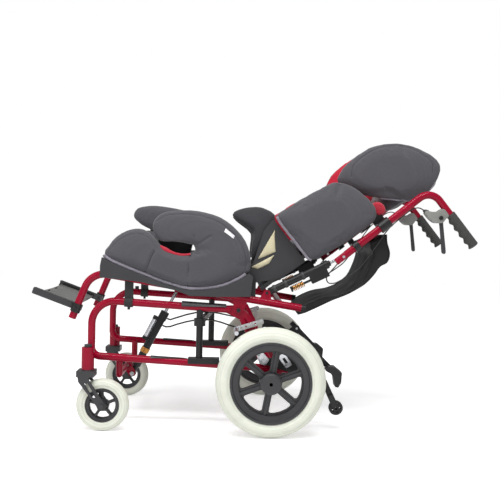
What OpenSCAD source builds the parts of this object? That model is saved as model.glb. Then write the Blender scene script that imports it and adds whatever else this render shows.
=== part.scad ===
// Tilting and reclining stroller for a child who needs postural support.
// Millimetres, +Z up. The front faces -X and the stroller's left side faces -Y.
// The origin is on the floor, in the middle of the whole length and width.

/* [Rear wheels] */
// Diameter of a rear tyre
rear_d = 315; // [290:1:330]
// Width of a rear tyre
rear_w = 54; // [44:1:58]
// Distance between the middles of the rear tyres
rear_track = 544; // [535:1:580]
// Height of a rear tyre over its rim
rear_tyre_h = 41.5; // [36:0.5:50]
// Diameter of a rear axle
axle_d = 12; // [10:0.5:14]
// Number of spokes of a rear rim
rear_spokes = 6; // [5:1:8]

/* [Casters] */
// Diameter of a caster tyre
caster_d = 152; // [140:1:156]
// Width of a caster tyre
caster_w = 32; // [26:1:36]
// Height of a caster tyre over its rim
caster_tyre_h = 27; // [23:0.5:31]
// Distance between the caster stems
caster_track = 450; // [444:1:470]
// Distance from the stem back to the caster's axle
caster_trail = 45; // [35:1:50]
// Diameter of a caster stem
stem_d = 12; // [10:0.5:14]
// Outer diameter of a caster housing
housing_d = 36; // [32:1:40]
// Height of a caster housing
housing_h = 64; // [56:1:70]
// Number of spokes of a caster rim
caster_spokes = 5; // [4:1:7]

/* [Base frame] */
// Diameter of the frame tubes
tube_d = 22; // [19:0.5:24]
// Distance between the middles of the side frames
frame_gauge = 356; // [340:1:360]
// Distance from the rear axle forward to the front post
post_reach = 527; // [500:1:560]
// Height of the lower rail's middle at the front post
low_rail_z = 209; // [204:1:216]
// Height of the upper rail's middle at the front post
top_rail_z = 375; // [368:1:378]
// Fall of both rails towards the rear, in degrees
rail_slope = 3.1; // [2:0.1:4]
// Middle radius of the bend at the top of the front post
top_bend_r = 68; // [50:1:80]
// Middle radius of the bend at the bottom of the front post
low_bend_r = 28; // [24:1:36]

/* [Seat] */
// Distance from the rear axle forward to the tilt pivot
tilt_reach = 95; // [90:1:100]
// Height of the tilt pivot
tilt_z = 353; // [351:1:357]
// Slope of the seat rails in the lowest tilt, in degrees
seat_slope = 8.8; // [8:0.1:9.5]
// Height of the seat rails over the tilt pivot
seat_rise = 36; // [34:1:40]
// Length of a seat rail ahead of the tilt pivot
seat_front = 446; // [436:1:456]
// Length of a seat rail behind the tilt pivot
seat_rear = 182; // [170:1:190]
// Length of a leg tube below the seat rail
leg_drop = 144; // [130:1:160]
// Thickness of the seat cushion
cushion_h = 58; // [45:1:64]
// Length of a side wing of the seat
wing_l = 435; // [425:1:440]
// Height of a side wing of the seat
wing_h = 239; // [230:1:242]
// Thickness of a side wing of the seat
wing_t = 48; // [40:1:50]

/* [Backrest] */
// Slope of the backrest at full recline, in degrees over the level
recline_slope = 38.6; // [37:0.1:40]
// Length of a backrest side wing
back_wing_l = 264; // [250:1:268]
// Depth of a backrest side wing
back_wing_h = 202; // [190:1:204]
// Thickness of a backrest side wing
back_wing_t = 44; // [36:1:45]
// Distance of the push tubes behind the recline pivot's line
push_back = 121; // [121:1:126]
// Length of the straight part of a push tube and its bend, from the pivot's level
push_top = 606; // [600:1:640]
// Middle radius of the bend below a hand grip
push_bend_r = 42; // [38:1:50]
// Distance from the push tube's line to the end of a hand grip
grip_end = 208; // [195:1:220]
// Diameter of a hand grip
grip_d = 30; // [28:1:34]
// Length of a hand grip
grip_l = 115; // [105:1:120]

/* [Headrest] */
// Length of the headrest along the backrest
head_l = 293; // [280:1:300]
// Depth of the headrest
head_h = 222; // [210:1:226]
// Thickness of a headrest ear
ear_t = 40; // [34:1:42]
// Travel of the headrest
head_travel = 60; // [40:1:70]

/* [Footrest] */
// Length of the footrest side rails
foot_l = 154; // [140:1:165]
// Slope of the footrest, in degrees, rising to the front
foot_slope = 20; // [15:1:22]
// Height of a footrest side rail
foot_rail_h = 20; // [16:1:24]

/* [Fits] */
// Radial clearance of a running pin
run_gap = 0.05; // [0.03:0.01:0.1]
// Gap between pieces that touch on the real stroller
seat_gap = 0.2; // [0.1:0.05:0.4]
// Gap beside a soft piece
soft_gap = 0.5; // [0.4:0.1:1]

/* [Hidden] */
$fn = 48;
fine = 96;
cut = 1;
weld = 0.3;
// A bend is a hair thicker than its tube, and the tube reaches a little way into it
swell = 0.05;
sleeve = 1;

// Colours
red = "#A81C38";
black = "#2A2A2C";
grey_cloth = "#5A585E";
steel = "#B8BABD";
tyre_white = "#DDE0D2";

// Base frame, measured from the rear axle
frame_y = frame_gauge / 2;
axle_z = rear_d / 2;
rear_seat_d = rear_d - 2 * rear_tyre_h;
caster_seat_d = caster_d - 2 * caster_tyre_h;
post_x = -post_reach;
low_rear_x = 80;
top_rear_gap = 23;
tilt_x = -tilt_reach;
top_rear_x = tilt_x - top_rear_gap;
gusset_t = 10;
pin_d = 10;
leg_tube_d = 18;
function low_z(x) = low_rail_z - tan(rail_slope) * (x - post_x);
function top_z(x) = top_rail_z - tan(rail_slope) * (x - post_x);

// Seat frame, measured from the tilt pivot along and across the seat rails
leg_lean = 13;
leg_bend_r = 60;
leg_end = [-seat_front - leg_drop * tan(leg_lean), seat_rise - leg_drop];
seat_cross_d = 20;
seat_cross_s = [-380, -200, 120];
lug_t = 4;
hinge_s = 2;
hinge_t = 86;
bracket_t = 10;

// Recline pivot, turned from the seat's axes into the axle's axes
recline_x = tilt_x + hinge_s * cos(seat_slope) + hinge_t * sin(seat_slope);
recline_z = tilt_z - hinge_s * sin(seat_slope) + hinge_t * cos(seat_slope);

// Footrest pivot
foot_drop = 112;
foot_s = -seat_front - foot_drop * tan(leg_lean);
foot_t = seat_rise - foot_drop;
foot_x = tilt_x + foot_s * cos(seat_slope) + foot_t * sin(seat_slope);
foot_z = tilt_z - foot_s * sin(seat_slope) + foot_t * cos(seat_slope);
foot_tail = 12;

// Overall length, for the origin
x_front = foot_x - (foot_l - foot_tail) * cos(foot_slope) - foot_rail_h / 2 * sin(foot_slope);
x_rear = recline_x + (push_top + grip_d / 2) * cos(recline_slope) + (push_back + grip_end) * sin(recline_slope);
middle_x = (x_front + x_rear) / 2;

// Placing
module from_axle() { translate([-middle_x, 0, 0]) children(); }
module on_seat() { from_axle() translate([tilt_x, 0, tilt_z]) rotate([0, seat_slope, 0]) children(); }
module on_back() { from_axle() translate([recline_x, 0, recline_z]) rotate([0, -recline_slope,
        0]) children(); }
module on_foot() { from_axle() translate([foot_x, 0, foot_z]) rotate([0, foot_slope, 0]) children(); }
module both_sides() { for (side = [-1, 1]) scale([1, side, 1]) children(); }

// Small shapes
function unit_of(v) = v / norm(v);
function turn_at(a, b, c) = let (u = unit_of(b - a), w = unit_of(c - b)) atan2(u.x * w.y - u.y * w.x, u * w);
// A bar with its axis in the XZ plane, from a to b
module bar(a, b, d) {
    translate([a.x, 0, a.y]) rotate([0, 90 - atan2(b.y - a.y, b.x - a.x), 0])
            cylinder(h = norm(b - a), d = d);
}
// A bar along Y
module cross_bar(p, y0, y1, d) {
    translate([p.x, y0, p.y]) rotate([-90, 0, 0]) cylinder(h = y1 - y0, d = d);
}
// A plate in the XZ plane between y0 and y1
module plate(points, y0, y1) {
    translate([0, y1, 0]) rotate([90, 0, 0]) linear_extrude(y1 - y0) polygon(points);
}
// One bend in the XZ plane with its corner at b
module bend(a, b, c, r, d) {
    u = unit_of(b - a);
    t = turn_at(a, b, c);
    back = r * tan(abs(t) / 2);
    start = b - u * back;
    hand = sign(t);
    centre = start + hand * r * [-u.y, u.x];
    from = atan2(start.y - centre.y, start.x - centre.x);
    translate([centre.x, 0, centre.y]) rotate([90, 0, 0]) rotate([0, 0, hand > 0 ? from : from + t])
        rotate_extrude(angle = abs(t), $fn = fine) translate([r, 0]) circle(d = d);
}
// A tube in the XZ plane along points, bent at each inner point by the radius named in radii
module bent_tube(points, radii, d) {
    last = len(points) - 1;
    cuts = [for (i = [0:last]) i == 0 || i == last ? 0
            : radii[i - 1] * tan(abs(turn_at(points[i - 1], points[i], points[i + 1])) / 2)];
    for (i = [0:last - 1]) {
        u = unit_of(points[i + 1] - points[i]);
        grow0 = i == 0 ? 0 : sleeve;
        grow1 = i == last - 1 ? 0 : sleeve;
        bar(points[i] + u * (cuts[i] - grow0), points[i + 1] - u * (cuts[i + 1] - grow1), d);
    }
    for (i = [1:1:last - 1]) bend(points[i - 1], points[i], points[i + 1], radii[i - 1], d + 2 * swell);
}
// An outline with its corners rounded by r
function rounded(points, r, n = 5) = [for (i = [0:len(points) - 1])
    let (a = points[(i + len(points) - 1) % len(points)], b = points[i], c = points[(i + 1) % len(points)],
         u = unit_of(a - b), w = unit_of(c - b), half = acos(u * w) / 2, m = unit_of(u + w) * r / sin(half),
         p = b + u * r / tan(half) - (b + m), q = b + w * r / tan(half) - (b + m),
         a0 = atan2(p.y, p.x), da = (atan2(q.y, q.x) - a0 + 540) % 360 - 180)
    for (k = [0:n]) b + m + r * [cos(a0 + da * k / n), sin(a0 + da * k / n)]];
// A closed smooth curve through points, with k pieces to a span
function smooth(points, k = 2) = let (n = len(points)) [for (i = [0:n - 1])
    let (p0 = points[(i + n - 1) % n], p1 = points[i], p2 = points[(i + 1) % n], p3 = points[(i + 2) % n])
    for (j = [0:k - 1]) let (t = j / k)
        (2 * p1 + (p2 - p0) * t + (2 * p0 - 5 * p1 + 4 * p2 - p3) * t * t + (3 * p1 - p0 - 3 * p2 + p3) * t * t * t) / 2];
// The same outline, counter-clockwise
function area(points) = let (n = len(points))
        [for (i = [0:n - 1]) points[i].x * points[(i + 1) % n].y - points[i].y * points[(i + 1) % n].x]
    * [for (i = [0:n - 1]) 1];
function wound(points) = area(points) > 0 ? points : [for (i = [len(points) - 1:-1:0]) points[i]];
function placed(shares, from, size) = [for (p = shares) [from.x + p.x * size.x, from.y + p.y * size.y]];

// A padded shape: an outline in the XZ plane about a centre, crowned on both faces, its edge drawn in
crown_shares = [[0.3, 1], [0.6, 0.97], [0.8, 0.86], [0.92, 0.66], [0.985, 0.36], [1, 0]];
module pillow(shape, centre, y_mid, thick) {
    outline = wound(shape);
    n = len(outline);
    levels = concat([for (c = crown_shares) [c[0], -c[1]]],
                    [for (i = [len(crown_shares) - 2:-1:0]) crown_shares[i]]);
    m = len(levels);
    rings = [for (l = levels) for (p = outline)
             [centre.x + (p.x - centre.x) * l[0], y_mid + l[1] * thick / 2,
                     centre.y + (p.y - centre.y) * l[0]]];
    points = concat(rings, [for (side = [-1, 1]) [centre.x, y_mid + side * thick * 0.505, centre.y]]);
    sides = [for (i = [0:m - 2]) for (j = [0:n - 1]) let (k = (j + 1) % n)
             for (f = [[i * n + j, i * n + k, (i + 1) * n + k],
                     [i * n + j, (i + 1) * n + k, (i + 1) * n + j]]) f];
    caps = [for (j = [0:n - 1]) let (k = (j + 1) % n)
            for (f = [[m * n, k, j], [m * n + 1, (m - 1) * n + j, (m - 1) * n + k]]) f];
    polyhedron(points, concat(sides, caps));
}
// A cushion seen from above: a rounded outline in the XY plane, domed on top, flatter below
dome_shares = [[0.5, 1], [0.75, 0.93], [0.9, 0.78], [0.98, 0.5], [1, 0.25], [0.985, 0.08], [0.93, 0]];
module cushion(outline, centre, low, high) {
    n = len(outline);
    m = len(dome_shares);
    rings = [for (l = dome_shares) for (p = outline)
             [centre.x + (p.x - centre.x) * l[0], centre.y + (p.y - centre.y) * l[0],
                     low + (high - low) * l[1] * 0.98]];
    points = concat(rings, [[centre.x, centre.y, high], [centre.x, centre.y, low]]);
    sides = [for (i = [0:m - 2]) for (j = [0:n - 1]) let (k = (j + 1) % n)
             for (f = [[i * n + j, i * n + k, (i + 1) * n + k],
                     [i * n + j, (i + 1) * n + k, (i + 1) * n + j]]) f];
    caps = [for (j = [0:n - 1]) let (k = (j + 1) % n)
            for (f = [[m * n, k, j], [m * n + 1, (m - 1) * n + j, (m - 1) * n + k]]) f];
    polyhedron(points, concat(sides, caps));
}

// Base frame
gusset_h = 36;
axle_boss_d = 34;
axle_boss_l = 34;
leg_spread = leg_tube_d * 0.45;
leg_top_back = [18, -24];
web_t = 12;
housing_low = low_rail_z - housing_h / 2 + 2 * weld;
function leg_line() = let (a = [tilt_x + leg_top_back.x, tilt_z + leg_top_back.y], b = [0, low_z(0)]) [a, b];
module rail_loop(d) {
    bent_tube([[low_rear_x, low_z(low_rear_x)], [post_x, low_z(post_x)], [post_x, top_z(post_x)],
               [top_rear_x, top_z(top_rear_x)]], [low_bend_r, top_bend_r], d);
}
module side_frame() {
    leg = leg_line();
    across = unit_of([leg[1].y - leg[0].y, leg[0].x - leg[1].x]) * leg_spread;
    color(red) from_axle() difference() {
        union() {
            translate([0, frame_y, 0]) rail_loop(tube_d);
            // Gusset that carries the tilt pivot
            plate(rounded([[top_rear_x - gusset_h / 2, tilt_z - tube_d / 3],
                    [top_rear_x - gusset_h / 2, tilt_z + tube_d / 2],
                           [tilt_x, tilt_z + pin_d * 1.3], [tilt_x + gusset_h * 0.9,
                                   tilt_z - gusset_h * 0.35],
                           [tilt_x + gusset_h / 2, tilt_z - gusset_h]], pin_d / 2),
                  frame_y - gusset_t / 2, frame_y + gusset_t / 2);
            // Rear leg of two tubes
            for (hand = [-1, 1]) translate([0, frame_y, 0])
                bar(leg[0] + hand * across, leg[1] + hand * across, leg_tube_d);
            // Axle plate below the lower rail
            plate(rounded([[-axle_boss_d * 1.3, low_z(0)], [-axle_boss_d * 0.6, axle_z - axle_boss_d / 2],
                           [axle_boss_d * 0.6, axle_z - axle_boss_d / 2], [axle_boss_d * 1.3, low_z(0)]],
                                   pin_d / 2),
                  frame_y - gusset_t / 2, frame_y + gusset_t / 2);
            cross_bar([0, axle_z], frame_y - axle_boss_l / 2, frame_y + axle_boss_l / 2, axle_boss_d);
            // Boss of the brake arm on the rear leg
            cross_bar(brake_pivot, frame_y - gusset_t / 2, arm_y - lever_gap, small_pin_d * 2);
            // Caster housing and the web that joins it to the post
            translate([post_x, caster_track / 2, housing_low]) cylinder(h = housing_h, d = housing_d);
            translate([post_x - web_t / 2, frame_y, housing_low + housing_h / 6])
                cube([web_t, caster_track / 2 - frame_y, housing_h * 2 / 3]);
        }
        translate([post_x, caster_track / 2, housing_low - cut])
                cylinder(h = housing_h + 2 * cut, d = stem_d + 2 * run_gap);
        cross_bar([tilt_x, tilt_z], frame_y - gusset_t, frame_y + gusset_t, pin_d);
        cross_bar([0, axle_z], frame_y - axle_boss_l, frame_y + axle_boss_l, axle_d);
        cross_bar(brake_pivot, frame_y, arm_y, small_pin_d);
    }
}
module side_frame_left() { scale([1, -1, 1]) side_frame(); }
module side_frame_right() { side_frame(); }

// Cross tubes of the base and the bracket of the tilt spring
cross_d = 20;
front_cross = [-447, 151];
front_cross_y = 158;
rear_cross_x = 36;
spring_foot = [-430, 125];
spring_pin_d = 8;
spring_eye_w = 16;
ear_plate_t = 4;
module cross_frame() {
    color(red) from_axle() {
        difference() {
            union() {
                cross_bar(front_cross, -front_cross_y, front_cross_y, cross_d);
                both_sides() translate([front_cross.x, front_cross_y, front_cross.y]) {
                    sphere(d = cross_d);
                    cylinder(h = low_z(front_cross.x) - front_cross.y, d = cross_d);
                }
                for (side = [-1, 1]) {
                    inner = spring_eye_w / 2 + seat_gap;
                    plate(rounded([front_cross + [-cross_d * 0.7, 0],
                            spring_foot + [-spring_pin_d, -spring_pin_d],
                                   spring_foot + [spring_pin_d * 1.3, -spring_pin_d],
                                           spring_foot + [spring_pin_d * 1.3, spring_pin_d],
                                   front_cross + [cross_d * 0.5, cross_d * 0.5]], spring_pin_d / 2),
                          side > 0 ? inner : -inner - ear_plate_t, side > 0 ? inner + ear_plate_t : -inner);
                }
            }
            both_sides() translate([0, frame_y, 0]) bar([low_rear_x, low_z(low_rear_x)],
                    [post_x, low_z(post_x)], tube_d + 2 * seat_gap);
            cross_bar(spring_foot, -frame_y, frame_y, spring_pin_d);
        }
        difference() {
            cross_bar([rear_cross_x, low_z(rear_cross_x)], -frame_y, frame_y, cross_d);
            both_sides() translate([0, frame_y, 0]) bar([low_rear_x, low_z(low_rear_x)],
                    [post_x, low_z(post_x)], tube_d + 2 * seat_gap);
        }
    }
}

// Black struts between the rails, and the bar between them
strut_d = 20;
strut_x = [-209, -186];
strut_base_l = 92;
strut_bar_z = 303;
strut_bar_h = 22;
strut_bar_t = 12;
module struts() {
    color(black) from_axle() difference() {
        union() {
            for (i = [0, 1]) {
                side = i == 0 ? -1 : 1;
                x = strut_x[i];
                translate([x, side * frame_y, low_z(x)]) cylinder(h = top_z(x) - low_z(x), d = strut_d);
                // The saddle on the lower rail
                translate([x - strut_base_l * 0.35, side * frame_y - tube_d * 0.7, low_z(x)])
                    cube([strut_base_l, tube_d * 1.4, tube_d * 0.75]);
                translate([x, side * frame_y, strut_bar_z]) cylinder(h = strut_bar_h, d = strut_d * 1.7);
            }
            a = [strut_x[0], -frame_y];
            b = [strut_x[1], frame_y];
            translate([a.x, a.y, strut_bar_z]) rotate([0, 0, atan2(b.y - a.y, b.x - a.x)])
                translate([0, -strut_bar_t / 2, 0]) cube([norm(b - a), strut_bar_t, strut_bar_h * 0.8]);
        }
        both_sides() translate([0, frame_y, 0]) {
            bar([low_rear_x, low_z(low_rear_x)], [post_x, low_z(post_x)], tube_d + 2 * seat_gap);
            bar([post_x, top_z(post_x)], [top_rear_x, top_z(top_rear_x)], tube_d + 2 * seat_gap);
        }
    }
}

// Rubber stops under the seat rails, each clamped round the upper rail
stop_x = -419;
stop_l = 24;
stop_w = 14;
stop_screw_d = 8;
function seat_line_z(x) = tilt_z + seat_rise / cos(seat_slope) - tan(seat_slope) * (x - tilt_x);
module seat_rails(d) {
    bent_tube([[seat_rear, seat_rise], [-seat_front, seat_rise], leg_end], [leg_bend_r], d);
}
module seat_stops() {
    color(black) difference() {
        from_axle() {
            both_sides() {
                translate([stop_x - stop_l / 2, frame_y - stop_w / 2, top_z(stop_x)])
                    cube([stop_l, stop_w, seat_line_z(stop_x) - top_z(stop_x)]);
                translate([0, frame_y, 0])
                    bar([stop_x - stop_l / 2, top_z(stop_x - stop_l / 2)],
                            [stop_x + stop_l / 2, top_z(stop_x + stop_l / 2)], tube_d * 1.35);
                translate([stop_x, frame_y, top_z(stop_x) - tube_d]) cylinder(h = tube_d, d = stop_screw_d);
            }
            // Knob on the right rail
            translate([stop_x - stop_l * 1.1, frame_y, top_z(stop_x - stop_l * 1.1)])
                    cylinder(h = tube_d * 0.9, d = stop_screw_d * 1.6);
        }
        from_axle() both_sides() translate([0, frame_y, 0])
            bar([post_x, top_z(post_x)], [top_rear_x, top_z(top_rear_x)], tube_d + 2 * seat_gap);
        on_seat() both_sides() translate([0, frame_y, 0]) bar([seat_rear, seat_rise],
                [-seat_front, seat_rise], tube_d + 2 * seat_gap);
    }
}

// Plastic channels clipped over the upper rails
channel_x = [-263, -132];
strip_x = [-352, -244];
channel_wall = 4;
module slide_channels() {
    color(black) from_axle() {
        both_sides() difference() {
            translate([0, frame_y, 0])
                bar([channel_x[0], top_z(channel_x[0])], [channel_x[1], top_z(channel_x[1])],
                        tube_d + 2 * channel_wall);
            translate([0, frame_y, 0]) bar([post_x, top_z(post_x)], [top_rear_x, top_z(top_rear_x)],
                    tube_d + 2 * seat_gap);
            translate([channel_x[0] - cut, frame_y - tube_d, top_z(channel_x[0]) - 2 * tube_d])
                cube([channel_x[1] - channel_x[0] + 2 * cut, 2 * tube_d, 2 * tube_d]);
        }
        // Thin strips on the lower rails
        both_sides() difference() {
            translate([0, frame_y, 0]) bar([strip_x[0], low_z(strip_x[0])], [strip_x[1], low_z(strip_x[1])],
                    tube_d + channel_wall);
            translate([0, frame_y, 0]) bar([low_rear_x, low_z(low_rear_x)], [post_x, low_z(post_x)],
                    tube_d + 2 * seat_gap);
            translate([strip_x[0] - tube_d, frame_y - tube_d, low_z(strip_x[0]) - 2 * tube_d + tube_d * 0.3])
                cube([strip_x[1] - strip_x[0] + 2 * tube_d, 2 * tube_d, 2 * tube_d]);
        }
    }
}

// Pins and bolt heads of the base
head_h_small = 6;
pin_reach = gusset_t / 2 + seat_gap + lug_t + seat_gap;
pedal_pivot = [112, axle_z + 94.5];
brake_pivot = [-59, axle_z + 152.5];
cam_pivot = [-18, axle_z + 46.5];
bracket_y = frame_y + tube_d / 2 + seat_gap;
bracket_plate_t = 5;
lever_gap = 0.4;
pedal_t = 8;
arm_t = 6;
small_pin_d = 8;
arm_y = bracket_y + bracket_plate_t + lever_gap;
cam_t = 6;
guide_a = [34, axle_z + 64.5];
guide_b = [56, axle_z + 34.5];
guide_wide = 11;
guide_slot = [3.2, 2.3];
guide_round = 2;
module pivot_pins() {
    color(steel) from_axle() {
        both_sides() {
            // Tilt pivots
            cross_bar([tilt_x, tilt_z], frame_y - pin_reach, frame_y + pin_reach, pin_d);
            for (hand = [-1, 1]) cross_bar([tilt_x, tilt_z],
                    frame_y + (hand > 0 ? pin_reach : -pin_reach - head_h_small),
                                           frame_y + (hand > 0 ? pin_reach + head_h_small : -pin_reach),
                                                   pin_d * 1.7);
            // Pivots of the pedal, of the brake arm and of its cam
            for (p = [[pedal_pivot, pedal_t, bracket_y], [brake_pivot, arm_t, frame_y],
                    [cam_pivot, cam_t, bracket_y]]) {
                cross_bar(p[0], p[2], arm_y + p[1] + lever_gap, small_pin_d);
                cross_bar(p[0], arm_y + p[1] + lever_gap, arm_y + p[1] + lever_gap + head_h_small / 2,
                        small_pin_d * 1.7);
            }
            // Slotted guide plate beside the pedal's bracket
            difference() {
                plate(rounded([guide_a + [-guide_wide, -guide_wide * 0.3],
                        guide_b + [-guide_wide * 0.7, -guide_wide * 0.7],
                               guide_b + [guide_wide, guide_wide * 0.3],
                                       guide_a + [guide_wide * 0.7, guide_wide * 0.7]], guide_wide * 0.5),
                      bracket_y + bracket_plate_t, bracket_y + bracket_plate_t + ear_plate_t);
                plate(rounded([guide_a * 0.75 + guide_b * 0.25 - guide_slot,
                        guide_a * 0.25 + guide_b * 0.75 - guide_slot,
                                                    guide_a * 0.25 + guide_b * 0.75 + guide_slot,
                                                            guide_a * 0.75 + guide_b * 0.25 + guide_slot],
                                                            guide_round),
                                           bracket_y, bracket_y + bracket_plate_t + ear_plate_t + cut);
            }
        }
        // Lower pin of the tilt spring
        cross_bar(spring_foot, -spring_eye_w / 2 - ear_plate_t - seat_gap,
                spring_eye_w / 2 + ear_plate_t + seat_gap, spring_pin_d);
        for (side = [-1, 1]) {
            y = spring_eye_w / 2 + ear_plate_t + seat_gap;
            cross_bar(spring_foot, side > 0 ? y : -y - head_h_small, side > 0 ? y + head_h_small : -y,
                    spring_pin_d * 1.7);
        }
    }
}

// Rear axles with a collar inside and a nut outside each wheel
hub_l = 50;
hub_d = 42;
cap_d = 60;
rear_y = rear_track / 2;
module rear_axles() {
    color(steel) from_axle() both_sides() {
        cross_bar([0, axle_z], frame_y - axle_boss_l / 2 - head_h_small, rear_y + hub_l / 2 + seat_gap,
                axle_d);
        cross_bar([0, axle_z], frame_y - axle_boss_l / 2 - head_h_small, frame_y - axle_boss_l / 2,
                axle_d * 1.8);
        cross_bar([0, axle_z], frame_y + axle_boss_l / 2, rear_y - hub_l / 2 - seat_gap, axle_d * 1.8);
    }
}

// Anti-tip arms in the ends of the lower rails
roller_c = [200, 66];
roller_d = 42;
roller_w = 18;
tip_d = 18;
tip_knee = [149, 174];
tip_bend_r = 24;
tip_angle = atan2(tip_knee.y - roller_c.y, tip_knee.x - roller_c.x);
tip_ear_l = 44;
module anti_tip_arms() {
    u = unit_of(tip_knee - roller_c);
    color(black) from_axle() both_sides() difference() {
        union() {
            translate([0, frame_y, 0]) bent_tube([[low_rear_x + seat_gap, low_z(low_rear_x)], tip_knee,
                    roller_c + u * tip_ear_l * 0.8],
                                                 [tip_bend_r], tip_d);
            translate([roller_c.x, frame_y, roller_c.y]) rotate([0, 90 - tip_angle, 0]) {
                for (hand = [-1, 1]) {
                    y = hand > 0 ? roller_w / 2 + seat_gap : -roller_w / 2 - seat_gap - ear_plate_t;
                    translate([-tip_d / 2, y, 0]) cube([tip_d, ear_plate_t, tip_ear_l]);
                    cross_bar([0, 0], y, y + ear_plate_t, tip_d);
                }
                translate([-tip_d / 2, -roller_w / 2 - seat_gap, tip_ear_l * 0.62])
                    cube([tip_d, roller_w + 2 * seat_gap, tip_ear_l * 0.38]);
            }
        }
        cross_bar(roller_c, frame_y - 2 * roller_w, frame_y + 2 * roller_w, small_pin_d);
    }
}
module roller(side) {
    y = side * frame_y;
    color(black) from_axle() difference() {
        translate([roller_c.x, y, roller_c.y]) rotate([90, 0, 0]) rotate_extrude($fn = fine)
            polygon([[small_pin_d / 2 + run_gap, -roller_w / 2], [roller_d * 0.4, -roller_w / 2],
                    [roller_d / 2, -roller_w / 3],
                     [roller_d / 2, roller_w / 3], [roller_d * 0.4, roller_w / 2],
                             [small_pin_d / 2 + run_gap, roller_w / 2]]);
        for (k = [0:4]) translate([roller_c.x, y - roller_w, roller_c.y]) rotate([0, k * 72, 0])
            translate([roller_d * 0.27, 0, 0]) rotate([-90, 0, 0])
                    cylinder(h = 2 * roller_w, d = roller_d * 0.16);
    }
}
module roller_left() { roller(-1); }
module roller_right() { roller(1); }

// Brake brackets outboard of the lower rail and the rear leg
bracket_low = [76, axle_z + 10.5];
bracket_high = [46, axle_z + 56.5];
module brake_brackets() {
    color(black) from_axle() both_sides() difference() {
        plate(rounded([cam_pivot + [-small_pin_d, -small_pin_d], bracket_low,
                pedal_pivot + [small_pin_d * 1.6, -small_pin_d],
                       pedal_pivot + [small_pin_d, small_pin_d * 1.4],
                               pedal_pivot + [-small_pin_d * 1.6, small_pin_d], bracket_high,
                       cam_pivot + [small_pin_d * 0.4, small_pin_d * 1.1],
                               cam_pivot + [-small_pin_d, small_pin_d * 0.8]], small_pin_d * 0.6),
              bracket_y, bracket_y + bracket_plate_t);
        for (p = [pedal_pivot, cam_pivot]) cross_bar(p, bracket_y - cut, bracket_y + bracket_plate_t + cut,
                small_pin_d);
    }
}

// Parking pedal: a rocking bar with a tread block
pedal_top = [93, axle_z + 114.5];
pedal_end = [172, axle_z + 34.5];
pedal_bar_h = 16;
pad_y0 = 200;
pad_y1 = 236;
tread_from = [160, axle_z - 19.5];
tread_size = [48, 61];
tread_round = 3;
tread_shares = [[0, 0.787], [0.083, 1], [0.583, 0.967], [1, 0.705], [0.958, 0.23], [0.792, 0], [0.583, 0.033],
                [0.5, 0.459], [0.333, 0.656]];
module pedal(side) {
    across = unit_of([pedal_top.y - pedal_end.y, pedal_end.x - pedal_top.x]) * pedal_bar_h / 2;
    color(black) from_axle() scale([1, side, 1]) difference() {
        union() {
            plate([pedal_top - across, pedal_end - across, pedal_end + across, pedal_top + across], arm_y,
                    arm_y + pedal_t);
            plate(rounded(placed(tread_shares, tread_from, tread_size), tread_round, 4), pad_y0, pad_y1);
        }
        cross_bar(pedal_pivot, arm_y - cut, arm_y + pedal_t + cut, small_pin_d + 2 * run_gap);
    }
}
module pedal_left() { pedal(-1); }
module pedal_right() { pedal(1); }

// Brake arm: a drilled steel plate with the pin that presses on the tyre
arm_rear = [-28, axle_z + 162.5];
arm_h = 15;
shoe_d = 12;
shoe_reach = 16;
shoe_clear = 8.2;
shoe_angle = 125.6;
shoe_r = rear_d / 2 + shoe_clear + shoe_d / 2;
arm_front = [shoe_r * cos(shoe_angle), axle_z + shoe_r * sin(shoe_angle)];
shoe_y1 = rear_y + shoe_reach;
module brake_arm(side) {
    color(steel) from_axle() scale([1, side, 1]) difference() {
        union() {
            for (end = [arm_front, arm_rear]) {
                u = unit_of(end - brake_pivot);
                n = [-u.y, u.x] * arm_h / 2;
                plate(rounded([brake_pivot - n - u * arm_h * 0.4, end - n + u * arm_h / 2,
                        end + n + u * arm_h / 2,
                               brake_pivot + n - u * arm_h * 0.4], arm_h * 0.35), arm_y, arm_y + arm_t);
            }
            cross_bar(arm_front, arm_y + arm_t - weld, shoe_y1, shoe_d);
            cross_bar(link_top, arm_y + arm_t - weld, link_y + link_t + lever_gap, small_pin_d * 0.75);
        }
        cross_bar(brake_pivot, arm_y - cut, arm_y + arm_t + cut, small_pin_d + 2 * run_gap);
        for (share = [0.35, 0.68]) cross_bar(arm_front + (brake_pivot - arm_front) * share, arm_y - cut,
                arm_y + arm_t + cut, arm_h / 3);
        cross_bar(brake_pivot + (arm_rear - brake_pivot) * 0.45, arm_y - cut, arm_y + arm_t + cut, arm_h / 3);
    }
}
module brake_arm_left() { brake_arm(-1); }
// Cam on the lower rail, and the link up to the brake arm
cam_pin = cam_pivot + [-16, 22];
link_top = [-31, axle_z + 161.5];
link_t = 5;
link_w = 12;
link_y = arm_y + arm_t + lever_gap;
module cam(side) {
    color(steel) from_axle() scale([1, side, 1]) difference() {
        union() {
            plate(rounded([cam_pin + [-link_w * 0.6, 0], cam_pivot + [-link_w, -link_w * 0.6],
                    cam_pivot + [link_w * 0.4, -link_w],
                           cam_pivot + [link_w * 1.4, link_w * 0.4], cam_pin + [link_w * 0.8, link_w * 0.7],
                                   cam_pin + [-link_w * 0.2, link_w * 0.7]],
                          link_w * 0.4), arm_y, arm_y + cam_t);
            cross_bar(cam_pin, arm_y + cam_t - weld, link_y + link_t + lever_gap, small_pin_d * 0.75);
        }
        cross_bar(cam_pivot, arm_y - cut, arm_y + cam_t + cut, small_pin_d + 2 * run_gap);
    }
}
module cam_left() { cam(-1); }
module cam_right() { cam(1); }
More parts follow.
